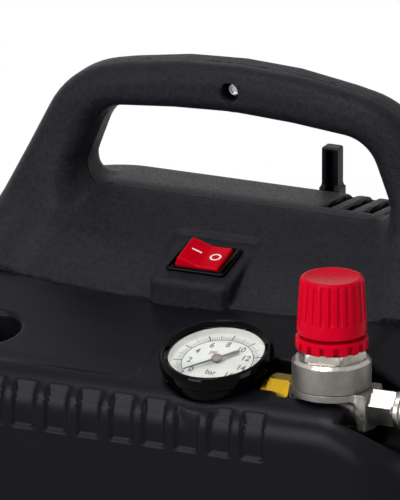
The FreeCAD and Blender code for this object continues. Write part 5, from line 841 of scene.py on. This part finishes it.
def flat_bars(middle, along, length, width, height):
    """Flat printed bars: centres and unit directions as arrays, one length and width for each."""
    middle, along = np.atleast_2d(middle).astype(float), np.atleast_2d(along).astype(float)
    across = np.stack([-along[:, 1], along[:, 0]], 1)
    length, width = (np.broadcast_to(value, len(middle))[:, None] for value in (length, width))
    square = [(-0.5, -0.5), (0.5, -0.5), (0.5, 0.5), (-0.5, 0.5)]
    points = np.stack([middle + along * length * u + across * width * v for u, v in square], 1)
    points = points.reshape(-1, 2)
    faces = np.arange(len(points)).reshape(-1, 4)
    return np.column_stack([points, np.full(len(points), height)]), faces


def rocker_top(points):
    """Carries flat marks onto the rocker's top, which is turned by half its travel at rest."""
    c, s = math.cos(ROCKER_REST), math.sin(ROCKER_REST)
    u, y, lift = points.T
    w = wing_height(u) + lift
    return tilted(np.stack([u * c + w * s, y, -u * s + w * c], 1), SWITCH_AT, PAD_TILT)


marks, mark_faces = joined([flat_bars([-4.6, 0.9], [1.0, 0.0], 5.2, 0.95, 0.08),
                            flat_ring(2.4, 0.85, 0.08, (5.6, -0.2))])
make_piece("switch_marks", rocker_top(marks), mark_faces, cream_ink, body="switch_rocker_body")


# ---- pressure gauge, worked out flat about its centre on the panel
GAUGE_AT = np.array([GAUGE_X, GAUGE_Y, GAUGE_Z])
panel_up = (0.0, -math.sin(PANEL_TILT), math.cos(PANEL_TILT))
DIAL_LEVEL = 5.0


def gauge_piece(name, profile, material, around=128, **what):
    """A turned piece of the gauge, round the axis that stands on the panel."""
    return turned_piece(name, profile, GAUGE_AT, panel_up, material, around=around, **what)


gauge_piece("gauge_cup", [
    (23.6, -19.0, 0.5), (23.6, 4.5, 0.3), (25.0, 4.5, 0.3), (25.0, -21.0, 1.2), (0.01, -21.0),
    (0.01, -19.0)
], gloss_black, node="gauge_case")
gauge_piece("gauge_rim", [
    (25.1, 4.6, 0.2), (26.6, 4.6, 0.3), (27.5, 5.6, 0.6), (27.5, 9.6, 1.4), (26.3, 12.0, 1.2),
    (25.0, 12.0, 1.0), (23.2, 10.5, 0.3), (23.2, 9.6, 0.2), (23.9, 9.6, 0.1), (23.9, 4.5, 0.1),
    (25.1, 4.5, 0.1)
], gloss_black, node="gauge_bezel")
gauge_piece("gauge_glass", [
    (0.0, 8.6), (23.8, 8.6, 0.2), (23.8, 9.6, 0.2), (0.0, 9.6)
], glass, node="gauge_lens")
gauge_piece("dial_plate", [
    (1.6, 4.4), (23.3, 4.4, 0.1), (23.3, 8.5, 0.2), (22.9, 8.5, 0.2), (22.0, 5.0, 0.6), (1.6, 5.0)
], dial_card, node="gauge_dial")


def scale_angle(value):
    """Direction of a scale value: the scale runs 270 degrees clockwise from lower left, 0 to 16."""
    return math.radians(90.0 + 135.0 - 270.0 / 16.0 * value)


LABEL_RADIUS = 13.3
LINE_RADIUS = 16.9
values = np.arange(0.0, 16.01, 0.2)
directions = np.array([[math.cos(scale_angle(v)), math.sin(scale_angle(v))] for v in values])
whole = np.isclose(values % 2.0, 0.0) | np.isclose(values % 2.0, 2.0)
half = (np.isclose(values % 1.0, 0.0) | np.isclose(values % 1.0, 1.0)) & ~whole
tick_end = np.where(whole, 21.2, np.where(half, 20.4, 19.4))
tick_width = np.where(whole, 0.62, np.where(half, 0.34, 0.24))
print_level = DIAL_LEVEL + 0.05
ticks = flat_bars(directions * ((LINE_RADIUS + tick_end) / 2.0)[:, None], directions,
                  tick_end - LINE_RADIUS, tick_width, print_level)
scale_line = flat_ring(LINE_RADIUS, 0.4, print_level + 0.01, (0.0, 0.0), (-45.0, 225.0), 96)
points, faces = joined([ticks, scale_line])
make_piece("dial_scale", tilted(points, GAUGE_AT, PANEL_TILT), faces, dial_ink)


def dial_words(name, words, material):
    """Printed words on the dial: each (text, x, y, size) is set as text, made a mesh and laid flat."""
    meshes = []
    for text, x, y, height in words:
        curve = bpy.data.curves.new(name + ".text", "FONT")
        curve.body, curve.size, curve.align_x, curve.align_y = text, height, "CENTER", "CENTER"
        curve.offset = 0.1
        holder = bpy.data.objects.new(name + ".text", curve)
        bpy.context.scene.collection.objects.link(holder)
        bpy.context.view_layer.update()
        graph = bpy.context.evaluated_depsgraph_get()
        mesh = bpy.data.meshes.new_from_object(holder.evaluated_get(graph))
        mesh.calc_loop_triangles()
        flat = np.empty(len(mesh.vertices) * 3)
        mesh.vertices.foreach_get("co", flat)
        order = np.empty(len(mesh.loop_triangles) * 3, np.int32)
        mesh.loop_triangles.foreach_get("vertices", order)
        narrow = (0.8, 1.0, 1.0)
        meshes.append((flat.reshape(-1, 3) * narrow + (x, y, print_level), order.reshape(-1, 3)))
        bpy.data.objects.remove(holder)
    points, faces = joined(meshes)
    return make_piece(name, tilted(points, GAUGE_AT, PANEL_TILT), faces, material)


numbers = [(str(v), LABEL_RADIUS * math.cos(scale_angle(v)), LABEL_RADIUS * math.sin(scale_angle(v)),
            5.6) for v in range(0, 17, 2)]
dial_words("dial_numbers", numbers + [("bar", 0.6, -9.4, 5.0)], dial_ink)
dial_words("dial_second_unit", [("psi", -4.5, 6.2, 4.2)], dial_red_ink)


def pointer_grid():
    """Pointer: a flat blade whose half width is a function of the distance from the hub - a broad
    tail, narrow at the hub, tapering to the tip - with a ridge along its middle."""
    along = np.array([-11.5, -11.0, -9.0, -5.5, -3.0, -1.5, 0.0, 2.0, 8.0, 14.0, 16.9, 17.0])
    half = np.array([0.35, 0.95, 1.25, 1.0, 0.85, 1.0, 1.1, 0.85, 0.55, 0.34, 0.22, 0.05])
    across = np.array([-1.0, -0.9, 0.0, 0.9, 1.0, 0.9, 0.0, -0.9])
    rise = np.array([0.2, 0.35, 0.5, 0.35, 0.2, 0.0, 0.0, 0.0])
    points = np.stack([half[:, None] * across, np.broadcast_to(along[:, None], (len(along), 8)),
                       np.broadcast_to(DIAL_LEVEL + 1.2 + rise, (len(along), 8))], -1).reshape(-1, 3)
    i, j = np.arange(len(along) - 1)[:, None] * 8, np.arange(8)[None, :]
    k = (j + 1) % 8
    faces = np.stack([i + j, i + 8 + j, i + 8 + k, i + k], -1).reshape(-1, 4)
    last = (len(along) - 1) * 8
    caps = np.array([[0, 1, 6, 7], [1, 2, 5, 6], [2, 3, 4, 5]])
    faces = np.concatenate([faces, caps, caps[:, ::-1] + last])
    return points, faces


blade, blade_faces = pointer_grid()
zero = math.radians(135.0)     # from straight up the dial, round to the left
turn = np.array([[math.cos(zero), -math.sin(zero)], [math.sin(zero), math.cos(zero)]])
blade[:, :2] = blade[:, :2] @ turn.T
closed_piece("pointer_blade", tilted(blade, GAUGE_AT, PANEL_TILT), blade_faces, pointer_black,
             body="gauge_pointer_body", node="gauge_pointer", sharp=25.0)
gauge_piece("pointer_hub", [
    (0.0, -5.0), (0.9, -5.0), (0.9, 5.7), (2.6, 5.8, 0.2), (2.6, 7.1, 0.5), (1.3, 7.5, 0.6), (0.0, 7.6)
], cast_zinc, body="gauge_pointer_body", node="gauge_pointer", slot="pointer_black", around=40)


# ---- regulator, all about one upright axis
def six_sided(across_flats, chamfer, low, high):
    """Radius of a hexagonal bar: flats give half / cos(angle from the flat), and a cone of the
    chamfer takes off the corners towards both ends."""
    half = across_flats / 2.0
    corner = half / math.cos(math.radians(30.0))

    def radius(angle, r, h):
        off = np.mod(angle, math.radians(60.0)) - math.radians(30.0)
        flat = half / np.cos(off)
        cone = corner - chamfer + 1.7 * np.minimum(h - low, high - h) + 0.0 * angle
        hexagon = np.minimum(flat, cone)
        return np.where(r > half * 0.94, hexagon - (half - r) * (r < half), r + 0.0 * angle)

    return radius


REG_AT = (REG_X, REG_Y, DRUM_BASE)
turned_piece("regulator_drum", [
    (15.5, 0.0), (19.0, 0.0, 0.5), (19.0, 12.3, 0.2), (15.5, 12.3)
], REG_AT, (0, 0, 1), cast_zinc, node="regulator_bonnet")
turned_piece("regulator_shoulder", [
    (13.2, 12.3), (18.95, 12.3, 0.15), (17.2, 14.0, 0.3), (16.2, 14.15), (13.2, 14.15)
], REG_AT, (0, 0, 1), turned_zinc, node="regulator_bonnet")
turned_piece("regulator_hexagon", [
    (4.06, 15.0), (13.2, 15.0), (13.2, 14.1), (14.75, 14.1), (14.75, 15.0), (14.75, 16.5),
    (14.75, 17.6), (14.75, 18.5), (9.0, 18.5), (9.0, 27.0, 0.4), (4.06, 27.0)
], REG_AT, (0, 0, 1), turned_zinc, shape=six_sided(29.5, 0.9, 14.1, 18.5), around=180,
    turn=math.radians(96.0), node="regulator_bonnet", sharp=25.0)


def ring_radius(angle, r, h):
    """Lock ring: sixteen notches sunk into its edge, open downwards."""
    step = math.radians(22.5)
    off = np.abs(np.mod(angle + step / 2.0, step) - step / 2.0) * 17.3
    sunk = ease((1.5 - off) / 0.35) * ease((4.3 - h) / 0.25)
    return r - 2.0 * sunk * (r > 15.5)


RING_H = ring_high[2] - ring_low[2]
turned_piece("lock_ring", [
    (9.05, 0.0), (17.0, 0.0), (17.2, 0.3), (17.3, 0.8), (17.3, 3.9), (17.3, 4.1), (17.3, 4.3),
    (17.3, 5.2), (16.9, RING_H - 0.2), (16.3, RING_H), (9.05, RING_H)
], (REG_X, REG_Y, ring_low[2]), (0, 0, 1), red_plastic, shape=ring_radius, around=432,
    turn=math.radians(9.0), node="regulator_lock_ring", sharp=30.0)

KNOB_H = knob_high[2] - knob_low[2]
FLUTES = 24


def knob_radius(angle, r, h):
    """Knob: shallow round grooves between broad ribs, running out at the plain band and at the top."""
    step = 2.0 * math.pi / FLUTES
    off = np.abs(np.mod(angle, step) - step / 2.0) * 16.0
    groove = np.sqrt(np.clip(1.0 - (off / 1.15) ** 2, 0.0, None))
    length = ease((h - 6.3) / 1.6) * ease((KNOB_H - 0.7 - h) / 1.6)
    return r - 0.95 * groove * length * (r > 13.9)


side_wall = [(16.5 - 1.15 * (h - 5.0) / 20.0, h)
             for h in (6.2, 6.8, 7.4, 8.0, 12.0, 18.0, 23.5, 24.6, 25.2)]
turned_piece("knob", [
    (0.0, 20.6), (12.0, 20.6, 1.0), (12.6, 0.4), (13.0, 0.0), (16.0, 0.0), (16.45, 0.35), (16.55, 1.0),
    (16.55, 5.2), (16.4, 5.7)] + side_wall + [(15.2, 25.9), (14.95, 26.5), (14.5, 27.05), (13.9, 27.4),
    (13.2, KNOB_H), (12.6, KNOB_H - 0.15), (0.0, KNOB_H - 0.4)
], (REG_X, REG_Y, knob_low[2]), (0, 0, 1), red_plastic, body="regulator_knob_body", shape=knob_radius,
    around=FLUTES * 16, node="regulator_knob", sharp=50.0)


def port_block_distance(x, y, z):
    """Cast port block: a barrel along the coupler axis, a plate under the drum, the outlet flange
    and both pipe sockets, all run together with casting fillets."""
    across = np.hypot(y - REG_Y, z - COUPLER_Z)
    barrel = np.maximum(across - 10.5, np.maximum(REG_X - 15.4 - x, x - REG_X - 21.6))
    plate = np.maximum(z - DRUM_BASE, DRUM_BASE - 3.5 - z)
    plate = smooth_max(pin(x, y, 19.0, (REG_X, REG_Y)), plate, 0.6)
    flange = smooth_max(smooth_max(np.abs(y - REG_Y) - 10.5, np.abs(z - COUPLER_Z + 0.75) - 9.75, 1.4),
                        np.abs(x - REG_X - 19.6) - 2.0, 0.8)
    left = np.maximum(np.hypot(y - REG_Y, z - STEM_Z) - 8.5, np.abs(x - REG_X + 13.4) - 5.0)
    foot = np.maximum(pin(x, y, 7.0, (REG_X, REG_Y)), np.maximum(z - COUPLER_Z, COUPLER_Z - 38.0 - z))
    sockets = smooth_min(flange, smooth_min(left, foot, 2.0), 2.0)
    form = smooth_min(smooth_min(barrel, plate, 3.5), sockets, 2.5)
    form = np.maximum(form, z - DRUM_BASE)
    outlet = np.maximum(across - 5.0, REG_X - x)
    seat = np.maximum(pin(x, y, 7.0, (REG_X, REG_Y)), COUPLER_Z + 2.0 - z)
    gauge_port = np.maximum(np.hypot(y - REG_Y, z - STEM_Z) - 5.05, x - REG_X + 12.4)
    inlet = np.maximum(pin(x, y, 4.0, (REG_X, REG_Y)), z - COUPLER_Z)
    return np.maximum(form, -np.minimum(np.minimum(np.minimum(outlet, seat), gauge_port), inlet))


level_surface("port_block", port_block_distance,
              (spaced(REG_X - 21.0, (REG_X + 24.0, 0.6)),
               spaced(REG_Y - 21.0, (REG_Y + 21.0, 0.6)),
               spaced(COUPLER_Z - 40.0, (COUPLER_Z - 13.0, 1.5), (DRUM_BASE + 1.5, 0.55))),
              cast_zinc, node="regulator_body")

# ---- quick coupler, turned about its own axis
ADAPTER_AT = (corners("coupler_adapter")[0][0] + 8.0, REG_Y, COUPLER_Z)
SOCKET_AT = (corners("coupler_body")[0][0], REG_Y, COUPLER_Z)
turned_piece("adapter", [
    (2.8, -8.0), (5.0, -8.0, 0.4), (5.0, 0.0), (8.25, 0.0), (8.25, 0.9), (8.25, 1.8), (8.25, 11.7),
    (8.25, 12.6), (8.25, 13.5), (4.6, 13.5), (4.6, 18.5, 0.3), (2.8, 18.5)
], ADAPTER_AT, (1, 0, 0), nickel, shape=six_sided(16.5, 1.0, 0.0, 13.5), around=120,
    turn=math.radians(12.0), node="coupler_adapter", sharp=25.0)
turned_piece("socket_body", [
    (3.5, 0.0), (9.5, 0.0, 0.6), (9.5, 3.0, 0.5), (8.5, 3.0, 0.2), (8.5, 6.5), (10.4, 6.5, 0.2),
    (10.4, 8.5, 0.2), (8.5, 8.5), (8.5, 32.5, 0.2), (9.7, 33.0, 0.3), (9.7, 35.0, 0.5),
    (8.5, 36.0, 0.4), (5.4, 36.0, 0.5), (5.4, 20.0), (4.65, 20.0), (4.65, 9.0), (3.5, 9.0)
], SOCKET_AT, (1, 0, 0), nickel, node="coupler_body")


def knurled(angle, r, h):
    """Sleeve: fine straight knurls round its grip band."""
    wave = 0.12 * np.cos(angle * 72.0) * ease((h - 9.4) / 0.6) * ease((17.8 - h) / 0.6)
    return r + wave * (r > 10.9)


turned_piece("coupler_grip", [
    (8.55, 16.0), (8.55, 22.0, 0.2), (11.6, 22.0, 0.5), (12.2, 21.4, 0.3), (12.2, 19.0, 0.3),
    (11.3, 18.0, 0.3), (11.4, 17.4), (11.4, 16.0), (11.4, 13.0), (11.4, 10.0), (11.3, 9.3, 0.3),
    (12.2, 8.0, 0.4), (12.2, 5.0, 0.3), (11.9, 4.6, 0.2), (11.9, 4.0, 0.2), (12.2, 3.6, 0.3),
    (12.2, 0.6, 0.4), (11.6, 0.0, 0.3), (10.5, 0.0, 0.2), (10.5, 14.0)
], (sleeve_low[0], REG_Y, COUPLER_Z), (1, 0, 0), nickel, body="coupler_sleeve_body", shape=knurled,
    around=432, node="coupler_sleeve")

STEM_AT = (stem_low[0], REG_Y, STEM_Z)
stem_end = stem_high[0] - stem_low[0]
turned_piece("brass_stem", [
    (0.0, 0.0), (5.0, 0.0, 0.3), (5.0, 13.5), (7.5, 13.5), (7.5, 14.2), (7.5, 15.0),
    (7.5, stem_end - 8.4), (7.5, stem_end - 7.7), (7.5, stem_end - 7.0), (5.0, stem_end - 7.0),
    (5.0, stem_end, 0.3), (0.0, stem_end)
], STEM_AT, (1, 0, 0), brass, shape=six_sided(15.0, 0.7, 13.5, stem_end - 7.0), around=120,
    turn=math.radians(30.0), node="gauge_stem", sharp=25.0)

# ---- feet, screws, cord gland and hooks
foot_x, foot_y = HALF_W - 40.0, -FRONT - 32.0
corner_feet = [(a, b, 0.0) for a in (-foot_x, foot_x) for b in (-foot_y, foot_y)]
HEAD_RADIUS = 3.8
turned_piece("corner_feet", [
    (4.8, 0.0), (12.0, 0.0, 1.2), (14.0, 12.0, 0.3), (1.9, 12.0), (1.9, 8.0), (4.8, 8.0)
], corner_feet, (0, 0, 1), rubber, around=64, node="rubber_feet")
turned_piece("centre_foot", [
    (0.0, 0.0), (12.0, 0.0, 1.0), (14.0, 12.0, 0.3), (3.0, 12.0), (3.0, 16.9, 0.4), (0.0, 16.9)
], (0.0, 0.0, 0.0), (0, 0, 1), rubber, around=64, node="rubber_feet")


def screw_profile(length):
    """Pan head screw with a hexagonal socket drawn as a round well: head down, shank up."""
    return [(0.0, -1.6), (1.9, -1.6), (2.0, -2.8, 0.2), (3.0, -2.8, 0.9), (HEAD_RADIUS, -1.4, 0.7),
            (HEAD_RADIUS, 0.0, 0.2), (1.9, 0.0), (1.9, length, 0.4), (0.0, length)]


screw_level = BASE_TOP - 5.0 + 2.8
hook_sides = (screw_low[0] + HEAD_RADIUS, screw_high[0] - HEAD_RADIUS)
hook_levels = (screw_low[2] + HEAD_RADIUS, screw_high[2] - HEAD_RADIUS)
for name, node, length, axis, around, places in (
        ("base_screws", "case_screws", 10.0, (0, 0, 1), 32,
         [(a, b, screw_level) for a, b in plate_screws]),
        ("rear_screws", "case_screws", 22.0, (0, -1, 0), 32,
         [(a, PARTING + 6.0, b) for a, b in rear_screws]),
        ("handle_screw", "case_screws", 12.0, (0, 1, 0), 48, [(0.0, PARTING - 3.0, BAR_MIDDLE)]),
        ("foot_screw_set", "foot_screws", 8.0, (0, 0, 1), 32, [(a, b, 8.0) for a, b, _ in corner_feet]),
        ("hook_screw_set", "hook_screws", 8.0, (0, -1, 0), 32,
         [(a, REAR + 2.5, b) for a in hook_sides for b in hook_levels])):
    turned_piece(name, screw_profile(length), places, axis, plated_steel, around=around, node=node)

gland_x, gland_z = (gland_low[0] + gland_high[0]) / 2.0, (gland_low[2] + gland_high[2]) / 2.0
turned_piece("cord_sleeve", [
    (4.0, 0.0, 0.4), (9.0, 0.0, 0.5), (9.0, 3.0, 0.3), (7.0, 3.0), (7.0, 6.0), (9.0, 6.0, 0.3),
    (9.0, 9.0, 0.8), (7.4, 11.0, 0.3), (7.6, 12.2, 0.3), (6.9, 12.8, 0.3), (7.1, 14.2, 0.3),
    (6.3, 14.8, 0.3), (6.5, 16.2, 0.3), (5.8, 16.8, 0.3), (5.6, 19.0, 0.5), (4.0, 19.0, 0.4)
], (gland_x, gland_low[1], gland_z), (0, 1, 0), rubber, around=64, node="cord_gland")


HOOK_RISE = 29.0


def hook_distance(root_z, up):
    """Field of one cord hook: a channel-section arm out to an upright end, on a screwed plate."""
    middle, half = (hook_low[0] + hook_high[0]) / 2.0, 4.3
    end = hook_high[1]

    def read(x, y, z):
        across, rise = np.abs(x - middle), (z - root_z) * up
        outer = smooth_max(across - half, np.maximum(y - end, REAR - y), 1.2)
        span = np.maximum(-rise, rise - HOOK_RISE)
        arm = np.maximum(outer, np.maximum(-rise, rise - 7.0))
        post = np.maximum(outer, np.maximum(span, end - 7.0 - y))
        form = smooth_max(smooth_min(arm, post, 4.0), span, 1.6)
        groove = np.maximum(np.maximum(across - 2.1, y - end + 2.2), np.maximum(2.2 - rise, rise - 26.8))
        form = smooth_max(form, -groove, 0.8)
        wing = smooth_max(across - 11.9, np.abs(rise) - 7.0, 4.0)
        wing = smooth_max(wing, np.abs(y - REAR - 1.25) - 1.25, 0.8)
        form = smooth_min(form, wing, 1.2)
        holes = np.maximum(np.hypot(across - 8.1, rise) - 1.95, y - REAR - 8.0)
        return np.maximum(form, -holes)

    return read


for name, root, up in (("upper_cord_hook", hook_high[2] - HOOK_RISE, 1.0),
                       ("lower_cord_hook", hook_low[2] + HOOK_RISE, -1.0)):
    ends = sorted((root - 8.5 * up, root + 30.5 * up))
    level_surface(name, hook_distance(root, up),
                  (spaced(hook_low[0] - 1.5, (hook_high[0] + 1.5, 0.5)),
                   spaced(REAR - 1.5, (hook_high[1] + 1.5, 0.5)),
                   spaced(ends[0], (ends[1], 0.55))),
                  satin_black, node="cord_hooks")


# ---- light, floor and camera
def stage_plane(name, size, z, material):
    """The pale floor under the object."""
    mesh = bpy.data.meshes.new(name)
    ends = [(-size, -size, z), (size, -size, z), (size, size, z), (-size, size, z)]
    mesh.from_pydata(ends, [], [(0, 1, 2, 3)])
    plane = bpy.data.objects.new(name, mesh)
    mesh.materials.append(material)
    bpy.context.scene.collection.objects.link(plane)


def seen_directly(tree):
    """1 where the camera, a reflection or a refraction looks, 0 for light that only illuminates."""
    path = add(tree, "LightPath")
    seen = path.outputs["Is Camera Ray"]
    for ray in ("Is Glossy Ray", "Is Transmission Ray"):
        seen = add(tree, "Math", {0: seen, 1: path.outputs[ray]}, operation="MAXIMUM").outputs[0]
    return seen


WHITE = (1.0, 1.0, 1.0, 1.0)


def pale_floor():
    """White floor: its own colour under the lamps, lifted to white where the camera or a
    reflection sees it, so that only shadows stay on it."""
    material, tree, out = blank_material("white studio floor")
    paper = add(tree, "BsdfDiffuse", {"Color": linear("#f4f4f4")})
    white = add(tree, "Emission", {"Color": WHITE, "Strength": 1.0})
    place = add(tree, "TexCoord").outputs["Object"]
    far = add(tree, "VectorMath", {0: place}, operation="LENGTH").outputs["Value"]
    lift = add(tree, "MapRange",
               {"Value": far, "From Min": 0.25, "From Max": 0.9, "To Min": 0.55, "To Max": 1.0})
    share = add(tree, "Math", {0: seen_directly(tree), 1: lift.outputs[0]}, operation="MULTIPLY")
    mix = add(tree, "MixShader", {0: share.outputs[0], 1: paper.outputs[0], 2: white.outputs[0]})
    tree.links.new(mix.outputs[0], out.inputs["Surface"])
    return material


stage_plane("floor", 6.0, 0.0, pale_floor())

world = bpy.data.worlds.new("studio")
bpy.context.scene.world = world
world.use_nodes = True
sky = world.node_tree
sky.nodes.clear()
sky_out = add(sky, "OutputWorld")
dim = add(sky, "Background", {"Color": WHITE, "Strength": 0.18})
bright = add(sky, "Background", {"Color": WHITE, "Strength": 1.0})
blend = add(sky, "MixShader", {0: seen_directly(sky), 1: dim.outputs[0], 2: bright.outputs[0]})
sky.links.new(blend.outputs[0], sky_out.inputs["Surface"])


def soft_light(name, place, aim, size, power):
    """A square soft box at a place, turned to a point."""
    lamp = bpy.data.lights.new(name, "AREA")
    lamp.shape, lamp.size, lamp.energy = "SQUARE", size, power
    holder = bpy.data.objects.new(name, lamp)
    bpy.context.scene.collection.objects.link(holder)
    holder.location = place
    holder.rotation_euler = (Vector(aim) - Vector(place)).to_track_quat("-Z", "Y").to_euler()


LIT_POINT = (0.0, 0.0, 0.2)
soft_light("overhead softbox", (-0.25, -0.62, 1.75), LIT_POINT, 0.55, 19.0)
soft_light("front key", (-0.7, -1.9, 0.75), LIT_POINT, 0.9, 27.0)
soft_light("right strip", (1.7, -0.5, 0.7), LIT_POINT, 0.7, 7.0)

azimuth, elevation, distance = math.radians(24.4), math.radians(18.0), 6.6
target = (0.0037, -0.010, 0.2515)
back = (math.sin(azimuth) * math.cos(elevation), -math.cos(azimuth) * math.cos(elevation),
        math.sin(elevation))
camera_data = bpy.data.cameras.new("camera")
camera_data.lens, camera_data.sensor_width, camera_data.sensor_fit = 993.0, 36.0, "AUTO"
camera = bpy.data.objects.new("camera", camera_data)
bpy.context.scene.collection.objects.link(camera)
camera.location = [t + b * distance for t, b in zip(target, back)]
camera.rotation_euler = (math.pi / 2.0 - elevation, 0.0, azimuth)
bpy.context.scene.camera = camera
bpy.context.scene.view_settings.view_transform = "Standard"
